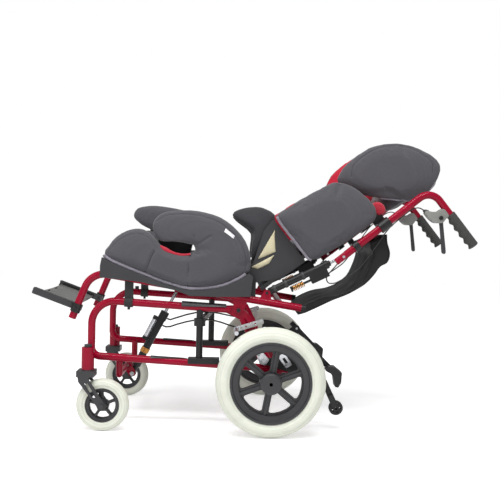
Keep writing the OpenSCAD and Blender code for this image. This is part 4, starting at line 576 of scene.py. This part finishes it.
def mark(obj, name, values):
    """Writes one number a point, keeping the larger where it was written before."""
    layer = obj.data.attributes.get(name)
    if layer is None:
        layer = obj.data.attributes.new(name, "FLOAT", "POINT")
        old = np.zeros(len(obj.data.vertices), np.float32)
    else:
        old = np.empty(len(obj.data.vertices), np.float32)
        layer.data.foreach_get("value", old)
    layer.data.foreach_set("value", np.maximum(old, values).astype(np.float32))


def gap_to(co, path):
    """The distance from each point to a line of points."""
    best = np.full(len(co), 1e9)
    for a, b in zip(path[:-1], path[1:]):
        d = b - a
        t = np.clip(((co - a) @ d) / max(float(d @ d), 1e-12), 0, 1)
        best = np.minimum(best, np.linalg.norm(co - (a + t[:, None] * d), axis=1))
    return best


def sew(obj, path, depth=3.0, width=9.0, line=2.2):
    """Draws a sewn line: the skin is pulled in towards it, and its middle is marked for the cloth's material."""
    path = np.array([list(p) for p in path])
    co = points_of(obj)
    gap = gap_to(co, path)
    move_to(obj, co - normals_of(obj) * (depth * MM * np.exp(-((gap / (width * MM * 0.42)) ** 2)))[:, None])
    mark(obj, "seam", np.clip(1.3 - gap / (line * MM), 0, 1))


def on_skin(obj, points, lift=0.0):
    """The points moved onto a pad's skin, then lifted off it in millimetres."""
    out = []
    for p in points:
        spot, normal, _, _ = skin[obj.name].find_nearest(Vector(p))
        out.append(spot + normal * lift * MM)
    return out


# Seat wings: the channels below the slit, creases at its end, and the line sewn along each lobe
SEAMS = [[(-272, 128), (-278.7, 107.6), (-283.5, 79.6), (-291, 52)],
         [(-169, 140), (-168.5, 133.8), (-164.2, 93), (-157.2, 38)]]
LOBE_LINE = [(-286, 218), (-268, 235), (-242, 246), (-191, 255), (-137, 253), (-90, 241), (-48, 216),
             (-20, 187), (-3, 155), (4, 120)]
CREASES = [[(-160, 172), (-166, 192)], [(-158, 165), (-140, 178), (-118, 199)], [(-160, 150), (-144, 140)]]
THIGH_LINE = [(-405, 110), (-390, 136), (-364, 158), (-335, 170), (-306, 169), (-280, 152)]
# The sides from which lines are laid on the nearest skin
SEAM_SIDES, LINE_SIDE, CREASE_SIDE, EDGE_SIDE = (153, 201), 198, 200, 196
for obj, side, _ in WINGS:
    for face in SEAM_SIDES:
        for seam in SEAMS:
            sew(obj, on_skin(obj, [on_seat(a, b, side * face) for a, b in seam]), depth=3.2, width=11)
    for shape, count, depth, line in ((LOBE_LINE, 40, 1.6, 1.4), (THIGH_LINE, 30, 1.2, 1.2)):
        path = on_skin(obj, [on_seat(a, b, side * LINE_SIDE) for a, b in shape])
        sew(obj, rounder(path, count), depth=depth, width=7, line=line)
    for crease in CREASES:
        path = on_skin(obj, [on_seat(a, b, side * CREASE_SIDE) for a, b in crease])
        sew(obj, path, depth=2.6, width=10, line=0.01)

# Seat cushion: three channels sewn across it
for a in (-330, -230, -130):
    sew(seat_cushion, on_skin(seat_cushion, [on_seat(a, 130, y) for y in range(-126, 127, 14)]), depth=5, width=16)
# Back pad: two channels along it and two across
for y in (-70, 70):
    sew(back_pad, on_skin(back_pad, [on_back(u, 10, y) for u in range(48, 408, 20)]), depth=5, width=16)
for u in (150, 270):
    sew(back_pad, on_skin(back_pad, [on_back(u, 10, y) for y in range(-68, 69, 12)]), depth=4, width=14)
# Headrest: the line sewn inside each ear's rim
EAR_LINE = [(447, 52), (460, 66), (475, 76), (509, 80), (552, 76), (594, 60), (628, 36), (655, 6), (668, -30),
            (672, -64), (655, -90)]
for side in (-1, 1):
    path = on_skin(headrest, [on_back(a, b, side * 144) for a, b in EAR_LINE])
    sew(headrest, rounder(path, 50), depth=1.6, width=7, line=1.4)


def line_with_red(obj, amount):
    """Writes where the lining shows: above 0 it does."""
    obj.data.attributes.new("lining", "FLOAT", "POINT").data.foreach_set("value", amount.astype(np.float32))


# Red linings: the inner faces of the headrest's ears and of the back wings, and the back pad's upper end
for obj, limit in ((headrest, 124.0), (back_wings, 169.0)):
    co, out = points_of(obj), normals_of(obj)
    inward = -out[:, 1] * np.sign(co[:, 1])
    line_with_red(obj, np.minimum(limit * MM - np.abs(co[:, 1]), (inward - 0.25) * 0.01))
LINED_FROM = 386
line_with_red(back_pad, (back_lines(points_of(back_pad))[0] - LINED_FROM) * MM)


def edging_along(name, obj, path, body, count, radius, mat=edging, lift=0.6, swell=None):
    """A corded edging laid on a pad's skin."""
    line = rounder(on_skin(obj, rounder(path, count), lift), count)
    cord = tube(name, line, radius * MM, mat, swell=swell)
    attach(cord, body)
    return cord


WING_EDGE = [(-421, 98), (-420, 84), (-390, 74), (-357, 66), (-290, 52), (-226, 39), (-160, 32), (-115, 39),
             (-59, 59), (-16, 85), (6, 112)]
EDGE_DROP = 8
for obj, side, word in WINGS:
    path = [on_seat(a, b - EDGE_DROP, side * EDGE_SIDE) for a, b in WING_EDGE]
    edging_along(f"seat_wing_edging_{word}", obj, path, "seat", 90, 5.8, lift=3.8)
BACK_EDGE = [(190, 96), (182, 60), (182, 0), (182, -50), (186, -84)]
EAR_EDGE = [(470, -66), (495, -84), (537, -116), (590, -125), (640, -117)]
for side, word in NEAR_FAR:
    path = [on_back(a, b, side * 184) for a, b in BACK_EDGE]
    edging_along(f"back_wing_edging_{word}", back_wings, path, "back", 40, 4.2, lift=1.2)
    path = [on_back(a, b, side * 126) for a, b in EAR_EDGE]
    edging_along(f"headrest_edging_{word}", headrest, path, "headrest", 40, 2.6)

# Red rim of the slit's lower edge, thicker towards the front, and the black lining behind it
SLIT_EDGE = [(-254, 153), (-240, 147), (-209, 140), (-186, 138), (-168, 139)]
SLIT_SWELL = [(0, 0.9), (0.18, 1.9), (0.45, 1.2), (1, 0.8)]
for obj, side, word in WINGS:
    path = [on_seat(a, b, side * EDGE_SIDE) for a, b in SLIT_EDGE]
    edging_along(f"slit_lining_{word}", obj, path, "seat", 40, 4.2, red_cloth, swell=SLIT_SWELL)


def patch(name, corners, grid, mat, body, rests_on, held, thickness=0.8, crown=0.0, cover=None):
    """A small sheet of cloth between four corners, crowned outwards or laid on a pad's skin, with its thickness."""
    obj = grid_sheet(name, grid, grid)
    a, b, c, d = (Vector(q) for q in corners)
    out = Vector((0, math.copysign(1, a.y), 0))
    for v in obj.data.vertices:
        u, w = v.co.x + 0.5, v.co.y + 0.5
        flat = a.lerp(b, u).lerp(d.lerp(c, u), w)
        if cover:
            spot, normal, _, _ = skin[cover.name].find_nearest(flat)
            v.co = spot + normal * 1.2 * MM
        else:
            v.co = flat + out * crown * MM * (16 * u * (1 - u) * w * (1 - w)) ** 0.5
    obj.matrix_world = Matrix.Identity(4)
    thickened(obj, thickness)
    dressed(obj.data, mat)
    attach(obj, body)
    return obj


# The far backing ends further forward, so light shows at the slits' rear tip
BACKING_SIDE, BACKING_REAR = 151.5, {"near": -173, "far": -188}
for obj, side, word in WINGS:
    rear = BACKING_REAR[word]
    corners = [on_seat(a, b, side * BACKING_SIDE) for a, b in ((-272, 136), (rear, 128), (rear + 5, 196), (-268, 196))]
    backing = patch(f"slit_backing_{word}", corners, 10, slit_cloth, "seat", [obj], "stretched", 1.2)
    backing.data.materials.append(grey_knit)  # the side towards the child is the wing's own cloth
    for face in backing.data.polygons:
        face.material_index = 0 if face.normal.y * side > 0.3 else 1

# Cream lining that shows between the hip support and the backrest's cheek: a tall triangle and a crescent under it
CHEEK_SIDE, CHEEK_CROWN = 148.6, 3.0
CHEEK_LININGS = (("upper", ((70.8, 25.7), (127.6, 11.3), (148, 42), (165.8, 64.4))),
                 ("lower", ((53.3, 2.7), (91.3, -4.6), (118.7, 6.0), (41.5, 19.0))))
for side, word in NEAR_FAR:
    for part, shape in CHEEK_LININGS:
        corners = [on_back(u, v, side * CHEEK_SIDE) for u, v in shape]
        patch(f"cheek_lining_{part}_{word}", corners, 10, cream_cloth, "back", ["back_shell"], "stretched",
              crown=CHEEK_CROWN)

# White woven tape on the arm lobe
TAPE = ((-81.6, 220.1), (-49.9, 204.8), (-46.4, 214.4), (-77.4, 231.9))
patch("white_tape", [on_seat(s, t, -205) for s, t in TAPE], 8, white_tape, "seat", [wing_near], "laid",
      cover=wing_near)

for item in pads:
    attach(item["obj"], item["body"])
    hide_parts(*item["sources"])

# ---- Storage bag: two layers of pack cloth hung in a lap behind the backrest, lofted across it, sagging and folded

BAG_OUT = [(66, -178), (88, -187), (130, -197), (175, -207), (220, -220), (257, -226), (284, -228), (318, -223),
           (350, -214), (375, -217), (397, -200), (410, -170), (424, -150)]
BAG_IN = [(80, -172), (110, -174), (140, -181), (164, -190), (198, -208), (235, -219), (265, -220), (287, -217),
          (320, -201), (354, -177), (362, -155), (372, -140)]
BAG_Y, BAG_END = 152, 4  # half its width up to the rounded ends, and how far each end is rounded out
STEPS, ROUND = 72, 64
outer, inner = (rounder([Vector((u, v, 0)) for u, v in line], STEPS + 1) for line in (BAG_OUT, BAG_IN))
bag = grid_sheet("storage_bag", ROUND, STEPS)
for v in bag.data.vertices:
    t, turn = min(1.0, max(0.0, v.co.y + 0.5)), (v.co.x + 0.5) % 1.0 * 8
    i = t * STEPS
    low, high = (np.array([np.interp(i, range(STEPS + 1), line[:, k]) for k in (0, 1)]) for line in (outer, inner))
    if turn < 3:  # along the lower layer, then round the far end, back along the upper layer and round the near end
        y, deep = BAG_Y - 2 * BAG_Y * turn / 3, 1.0
    elif turn < 4:
        y, deep = -BAG_Y - BAG_END * math.sin(math.pi * (turn - 3)), math.cos(math.pi * (turn - 3))
    elif turn < 7:
        y, deep = -BAG_Y + 2 * BAG_Y * (turn - 4) / 3, -1.0
    else:
        y, deep = BAG_Y + BAG_END * math.sin(math.pi * (turn - 7)), -math.cos(math.pi * (turn - 7))
    across = y / (BAG_Y + BAG_END)
    ease = math.sin(math.pi * t) ** 0.5
    sag = 5.0 * (1 - across * across) * ease
    fold = (1.4 * math.sin(y / 17 + 5.5 * t) + 0.9 * math.sin(y / 7.5 - 9 * t)) * ease * (1 - across**8)
    away = (low - high) / max(1e-6, float(np.linalg.norm(low - high)))
    u, w = (low + high) / 2 + (low - high) / 2 * deep + away * (sag + fold)
    pucker = (1.2 * math.sin(26 * t) + 0.8 * math.sin(9 * deep + 5 * t)) * ease * (abs(across) ** 12)
    v.co = on_back(u, w, y + math.copysign(pucker, y))
bag.matrix_world = Matrix.Identity(4)
closed_up(bag, merge=0.05 * MM)
smooth_shaded(bag)
dressed(bag.data, pack_cloth)
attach(bag, "back")
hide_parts("back_bag")
for side, word in NEAR_FAR:
    for line, part in ((BAG_OUT, "lower"), (BAG_IN, "upper")):
        path = rounder([on_back(u, w, side * (BAG_Y + BAG_END / 2)) for u, w in line], 60)
        hem = tube(f"bag_hem_{part}_{word}", path, 1.8 * MM, pack_cloth, sides=8)
        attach(hem, "back")

# ---- Footrest sling: coated cloth stretched between the rails, with a hem rolled round each of its ends

SLING_FRONT, SLING_REAR, SLING_B = -131, -21, -2.5
sling = grid_sheet("footrest_sling", 24, 60)
for v in sling.data.vertices:
    s, t = v.co.x + 0.5, v.co.y * 2
    dip = 9.0 * (1 - t * t) * (0.6 + 0.4 * math.sin(math.pi * s))
    ruck = (1 - t * t) * (2.6 * math.sin(11 * t + 2.2 * s) + 1.4 * math.sin(23 * t - 3.5 * s + 1))
    v.co = on_foot(SLING_FRONT + (SLING_REAR - SLING_FRONT) * s, SLING_B - dip + ruck, 154 * t)
sling.matrix_world = Matrix.Identity(4)
thickened(sling, 1.6)
dressed(sling.data, sling_cloth)
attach(sling, "footrest")
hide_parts("foot_sling")
for a, word in ((SLING_FRONT, "front"), (SLING_REAR, "rear")):
    path = rounder([on_foot(a, SLING_B - 5.4 * (1 - (t / 15) ** 2), t * 10.3) for t in range(-15, 16)], 60)
    hem = tube(f"sling_hem_{word}", path, 2.6 * MM, sling_cloth, sides=12)
    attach(hem, "footrest")

# ---- Turned pieces: a disc drawn out along its axis in edit mode, ring by ring


def turned(name, start, end, rings, mat, body, sides=32):
    """A lathed piece from one point towards another; rings are (millimetres along, radius in millimetres)."""
    bpy.ops.object.select_all(action="DESELECT")
    bpy.ops.mesh.primitive_circle_add(vertices=sides, radius=rings[0][1] * MM, fill_type="NGON")
    obj = bpy.context.object
    obj.name = name
    bpy.ops.object.mode_set(mode="EDIT")
    bpy.ops.mesh.select_all(action="SELECT")
    for (z0, r0), (z1, r1) in zip(rings[:-1], rings[1:]):
        bpy.ops.mesh.extrude_region_move(TRANSFORM_OT_translate={"value": (0, 0, (z1 - z0) * MM)})
        bpy.ops.transform.resize(value=(r1 / r0, r1 / r0, 1), center_override=(0, 0, (z1 - rings[0][0]) * MM))
    bpy.ops.object.mode_set(mode="OBJECT")
    closed_up(obj)
    axis = (Vector(end) - Vector(start)).normalized()
    turn = axis.to_track_quat("Z", "Y").to_matrix().to_4x4()
    obj.data.transform(Matrix.Translation(Vector(start) + axis * rings[0][0] * MM) @ turn)
    obj.matrix_world = Matrix.Identity(4)
    alone(obj)
    bpy.ops.object.shade_smooth_by_angle(angle=math.radians(32))
    dressed(obj.data, mat)
    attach(obj, body)
    return obj


# Wheel hubs: a stepped cap over each bore
HUB_CAP = [(0, 26), (6.5, 26), (8.4, 24.5), (9, 22), (9.2, 16), (8.2, 15), (8.0, 9), (9.6, 8), (10, 5)]
for side, word in BOTH:
    turned(f"hub_cap_{word}", at(0, side * 294, HUB_Z), at(0, side * 320, HUB_Z), HUB_CAP, nylon,
           f"wheel_{word}", 48)

# Tilt pivots: a dark bolt head on each red boss
TILT_BOLT = [(0, 3), (8.2, 3.1), (8.4, 6.5), (12, 6.5), (13, 5.6), (13.2, 3.6), (11.5, 3.2), (11.4, 1)]
for side, word in BOTH:
    turned(f"tilt_bolt_{word}", at(TILT_X, side * 190, TILT_Z), at(TILT_X, side * 240, TILT_Z), TILT_BOLT,
           black_oxide, "base", 24)
# Tilt spring: a golden coil round the foot of its body; an angle of pi / 6 is one step of the wire
STEP = math.pi / 6
coil = [on_tilt(76 + 17 * k / 72, 13.2 * math.sin(k * STEP), 13.2 * math.cos(k * STEP)) for k in range(73)]
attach(tube("tilt_coil", coil, 1.4 * MM, copper_wire, sides=8), "tilt_spring")

# Hand grips: foam with finger waves on the lever's side, smooth on the other
GRIP_R, WAVE_PITCH = 15, 24.4
GRIP_RINGS = [(0, 13.6), (0.8, 14.8), *((k, GRIP_R) for k in range(2, 117, 2)), (117.5, 14.6), (118.6, 13), (119, 10)]
grips = []
for side, word in BOTH:
    start, end = (on_back(GRIP_U, w, side * PUSH_Y) for w in (GRIP_START, GRIP_END))
    grip = turned(f"hand_grip_{word}", start, end, GRIP_RINGS, foam_rubber, "back", 40)
    co = points_of(grip)
    u, w, y = back_lines(co)
    off = np.hypot(u - GRIP_U, np.abs(y) - PUSH_Y)
    lean = np.clip((GRIP_U - u) / np.maximum(1e-6, off), 0, 1) ** 1.4
    wave = 0.5 - 0.5 * np.cos(2 * math.pi * (w - GRIP_END) / WAVE_PITCH)
    size = off / GRIP_R
    push = lean * (2.6 - 5.6 * wave) * np.where(size > 0.85, 1, size)
    out = np.stack([on_back(GRIP_U - p, 0, 0) - on_back(GRIP_U, 0, 0) for p in push])
    move_to(grip, co + out)
    grips.append(grip)
joined("hand_grips", grips)
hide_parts("grips")

# Lever housings: two cheeks and a core, cut to the outline seen from the side, with a pivot bolt and a cable nose


RIM = 56


def moulding(name, outline, low, high, soft, mat, body):
    """A flat moulding cut to an outline on the backrest's line and height, its edges rounded by soft millimetres.

    It reaches from the side low to the side high."""
    ring = rounder([Vector((u, v, 0)) for u, v in outline], RIM, closed=True)
    bpy.ops.object.select_all(action="DESELECT")
    bpy.ops.mesh.primitive_circle_add(vertices=RIM, radius=0.02, fill_type="NGON")
    obj = bpy.context.object
    obj.name = name
    for v, (u, w, _) in zip(obj.data.vertices, ring):
        v.co = on_back(u, w, low)
    bpy.ops.object.mode_set(mode="EDIT")
    bpy.ops.mesh.select_all(action="SELECT")
    bpy.ops.mesh.extrude_region_move(TRANSFORM_OT_translate={"value": (0, (high - low) * MM, 0)})
    bpy.ops.object.mode_set(mode="OBJECT")
    obj.matrix_world = Matrix.Identity(4)
    closed_up(obj)
    alone(obj)
    bevel = obj.modifiers.new("Rounded edge", "BEVEL")
    bevel.width, bevel.segments = soft * MM, 3
    bevel.limit_method, bevel.angle_limit = "ANGLE", math.radians(50)
    bpy.ops.object.modifier_apply(modifier=bevel.name)
    bpy.ops.object.shade_smooth_by_angle(angle=math.radians(35))
    dressed(obj.data, mat)
    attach(obj, body)
    return obj


HOUSING = [(548, -163), (556, -162), (562, -170), (571, -178), (581, -184), (592, -185), (599, -190), (600, -204),
           (598, -215), (588, -216), (580, -218), (571, -219.5), (561, -213), (551, -203), (547, -188), (546, -172)]
CORE = [(551, -167), (558, -168), (568, -178), (581, -187), (592, -189), (597, -193), (592, -197), (578, -194),
        (563, -186), (552, -177)]
# Layers: from and to, off the push tube's middle
LAYERS = ((-12.5, -5, HOUSING, "outer"), (5, 12.5, HOUSING, "inner"), (-6, 6, CORE, "core"))
housings = []
for side, word in BOTH:
    for low, high, outline, part in LAYERS:
        ends = sorted((side * (PUSH_Y - low), side * (PUSH_Y - high)))
        housings.append(moulding(f"lever_housing_{part}_{word}", outline, *ends, 1.6, acetal, "back"))
joined("lever_housing_mouldings", housings)
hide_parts("lever_housings")
# Levers: the photo's slim blades on the same pivots
BLADE = [(580, -199), (571, -198), (566, -206), (562.5, -219), (542, -252), (520, -286), (517.5, -292),
         (521, -297.5), (528, -295.5), (549, -262), (570.7, -227), (581, -213), (583, -205)]
BLADE_HALF = 4.4
for side, word in BOTH:
    low, high = side * PUSH_Y - BLADE_HALF, side * PUSH_Y + BLADE_HALF
    blade = moulding(f"hand_lever_{word}", BLADE, low, high, 1.8, nylon, f"lever_{word}_body")
    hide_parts(f"lever_{word}")
LEVER_BOLT = [(0, 4), (10, 4.1), (10.3, 6.4), (12.6, 6.4), (13.4, 5.6), (13.5, 3), (12.6, 2.8), (12.5, 1)]
CABLE_NOSE = [(0, 4), (4, 5.6), (11, 5.6), (11.5, 4.6), (18, 3.4), (18.4, 2)]
for side, word in BOTH:
    start, end = (on_back(*LEVER_PIVOT, side * y) for y in (180, 220))
    turned(f"lever_bolt_{word}", start, end, LEVER_BOLT, black_oxide, "back", 24)
    start, end = on_back(560, -171, side * PUSH_Y), on_back(549, -156, side * PUSH_Y)
    turned(f"cable_nose_{word}", start, end, CABLE_NOSE, nylon, "back", 20)

# Red cloth roll over the top end of the backrest's board
YOKE = [(437, -58), (447, -52), (462, -56), (471, -68), (471, -84), (463, -94), (447, -95), (438, -86)]
yoke = moulding("back_yoke", YOKE, -150, 150, 7, red_cloth, "back")

# Recline springs: bands and a collar on the cylinder, and the golden coil on its guide rod under the block
COLLAR = [(189, 6), (189.2, 12.5), (194, 13), (199, 13), (200.5, 11.5), (200.6, 9), (207, 8.5), (208, 6)]
BAND = [(-4.5, 9), (-4, 11.8), (-3, 12.4), (3, 12.4), (4, 11.8), (4.5, 9)]
GUIDE = [(8, 2), (8.2, 8.5), (13, 8.5), (14, 7), (14.2, 3.6), (73, 3.6), (73.1, 9.5), (76, 9.5), (77, 8)]
GUIDE_B, COIL_R = -22, 8.6
for side, word in BOTH:
    y, body = side * PUSH_Y, f"recline_spring_{word}"
    eye, far = on_recline(0, 0, y), on_recline(200, 0, y)
    turned(f"recline_collar_{word}", eye, far, COLLAR, powder_black, body)
    for place in (26, 62, 118):
        turned(f"recline_band_{place}_{word}", eye, far, [(place + a, r) for a, r in BAND], nylon, body)
    below, along = on_recline(60, GUIDE_B, y), on_recline(160, GUIDE_B, y)
    turned(f"recline_guide_{word}", below, along, GUIDE, powder_black, body)
    coil = [on_recline(75 + 36 * k / 84, GUIDE_B + COIL_R * math.sin(k * STEP), y + COIL_R * math.cos(k * STEP))
            for k in range(85)]
    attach(tube(f"recline_coil_{word}", coil, 1.35 * MM, copper_wire, sides=8), body)

# Release cables: from each lever housing down under the push tube, a loose loop below it, and up into the spring's fork
ROUTE = [(551, -159, 178), (547, -147, 178), (537, -138, 178), (515, -133, 178), (475, -134, 176), (445, -137, 171),
         (420, -143, 167), (393, -152, 165.5), (357, -163, 165), (307, -177, 165), (277, -178.5, 165),
         (250, -177, 165), (228, -174, 165), (211, -170, 165), (197, -160, 165), (197, -148, 165), (206, -139, 164),
         (235, -133, 164), (262, -127, 165)]
for side, word in NEAR_FAR:
    line = rounder([on_back(u, v, side * y) for u, v, y in ROUTE], 110)
    cable = tube(f"release_cable_{word}", line, 1.9 * MM, sheath, sides=8)
    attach(cable, "back")

# ---- Camera, floor and light

camera = bpy.data.objects.new("camera", bpy.data.cameras.new("camera"))
scene = bpy.context.scene
scene.collection.objects.link(camera)
yaw, pitch, roll = (math.radians(a) for a in (1.19, 1.08, 1.21))
ahead = Vector((math.sin(yaw) * math.cos(pitch), math.cos(yaw) * math.cos(pitch), -math.sin(pitch)))
right = Vector((math.cos(yaw), -math.sin(yaw), 0))
up = right.cross(ahead)
right2 = right * math.cos(roll) + up * math.sin(roll)
up2 = up * math.cos(roll) - right * math.sin(roll)
turn = Matrix((right2, up2, -ahead)).transposed().to_4x4()
turn.translation = Vector((-0.1076 + AXLE_X * MM, -2.2421, 0.5691))
camera.matrix_world = turn
camera.data.lens, camera.data.sensor_width = 50.25, 36.0
scene.camera = camera

bpy.ops.object.select_all(action="DESELECT")
bpy.ops.mesh.primitive_plane_add(size=14)
floor = bpy.context.object
floor.name = "studio_floor"
paper = bpy.data.materials.new("white studio paper")
paper.use_nodes = True
tree = paper.node_tree
matt = tree.nodes["Principled BSDF"]
matt.inputs["Base Color"].default_value = tint("#F4F4F4")
matt.inputs["Roughness"].default_value = 0.9
matt.inputs["Specular IOR Level"].default_value = 0.1
matt.inputs["Emission Color"].default_value = (1, 1, 1, 1)
seen = add(tree, "LightPath")
glow = add(tree, "Math", {"operation": "MAXIMUM"}, {0: seen.outputs["Is Camera Ray"], 1: seen.outputs["Is Glossy Ray"]})
level = add(tree, "Math", {"operation": "MULTIPLY"}, {0: glow.outputs[0], 1: 0.42})
tree.links.new(level.outputs[0], matt.inputs["Emission Strength"])
floor.data.materials.append(paper)

world = bpy.data.worlds.new("studio light") if scene.world is None else scene.world
scene.world = world
world.use_nodes = True
tree = world.node_tree
tree.nodes.clear()
ray = add(tree, "LightPath")
direct = add(tree, "Math", {"operation": "MAXIMUM"},
             {0: ray.outputs["Is Camera Ray"], 1: ray.outputs["Is Transmission Ray"]})
strength = add(tree, "MapRange", None, {"Value": direct.outputs[0], "To Min": 0.62, "To Max": 1.0})
sky = add(tree, "Background", None, {"Color": (1, 1, 1, 1), "Strength": strength.outputs[0]})
add(tree, "OutputWorld", None, {"Surface": sky.outputs[0]})


def lamp(name, place, target, size, power):
    light = bpy.data.lights.new(name, "AREA")
    light.shape, light.size, light.size_y, light.energy = "RECTANGLE", size[0], size[1], power
    obj = bpy.data.objects.new(name, light)
    scene.collection.objects.link(obj)
    aim = (Vector(target) - Vector(place)).to_track_quat("-Z", "Y")
    obj.matrix_world = Matrix.Translation(place) @ aim.to_matrix().to_4x4()


lamp("softbox above", (-0.3, -1.0, 3.0), (0, 0, 0.3), (2.4, 1.4), 46)
lamp("strip light above", (-0.2, -1.4, 2.5), (0, 0, 0.4), (2.6, 0.12), 26)
lamp("softbox at the front", (-2.6, -2.0, 1.8), (0, 0, 0.4), (1.2, 1.8), 16)

scene.view_settings.view_transform = "Standard"
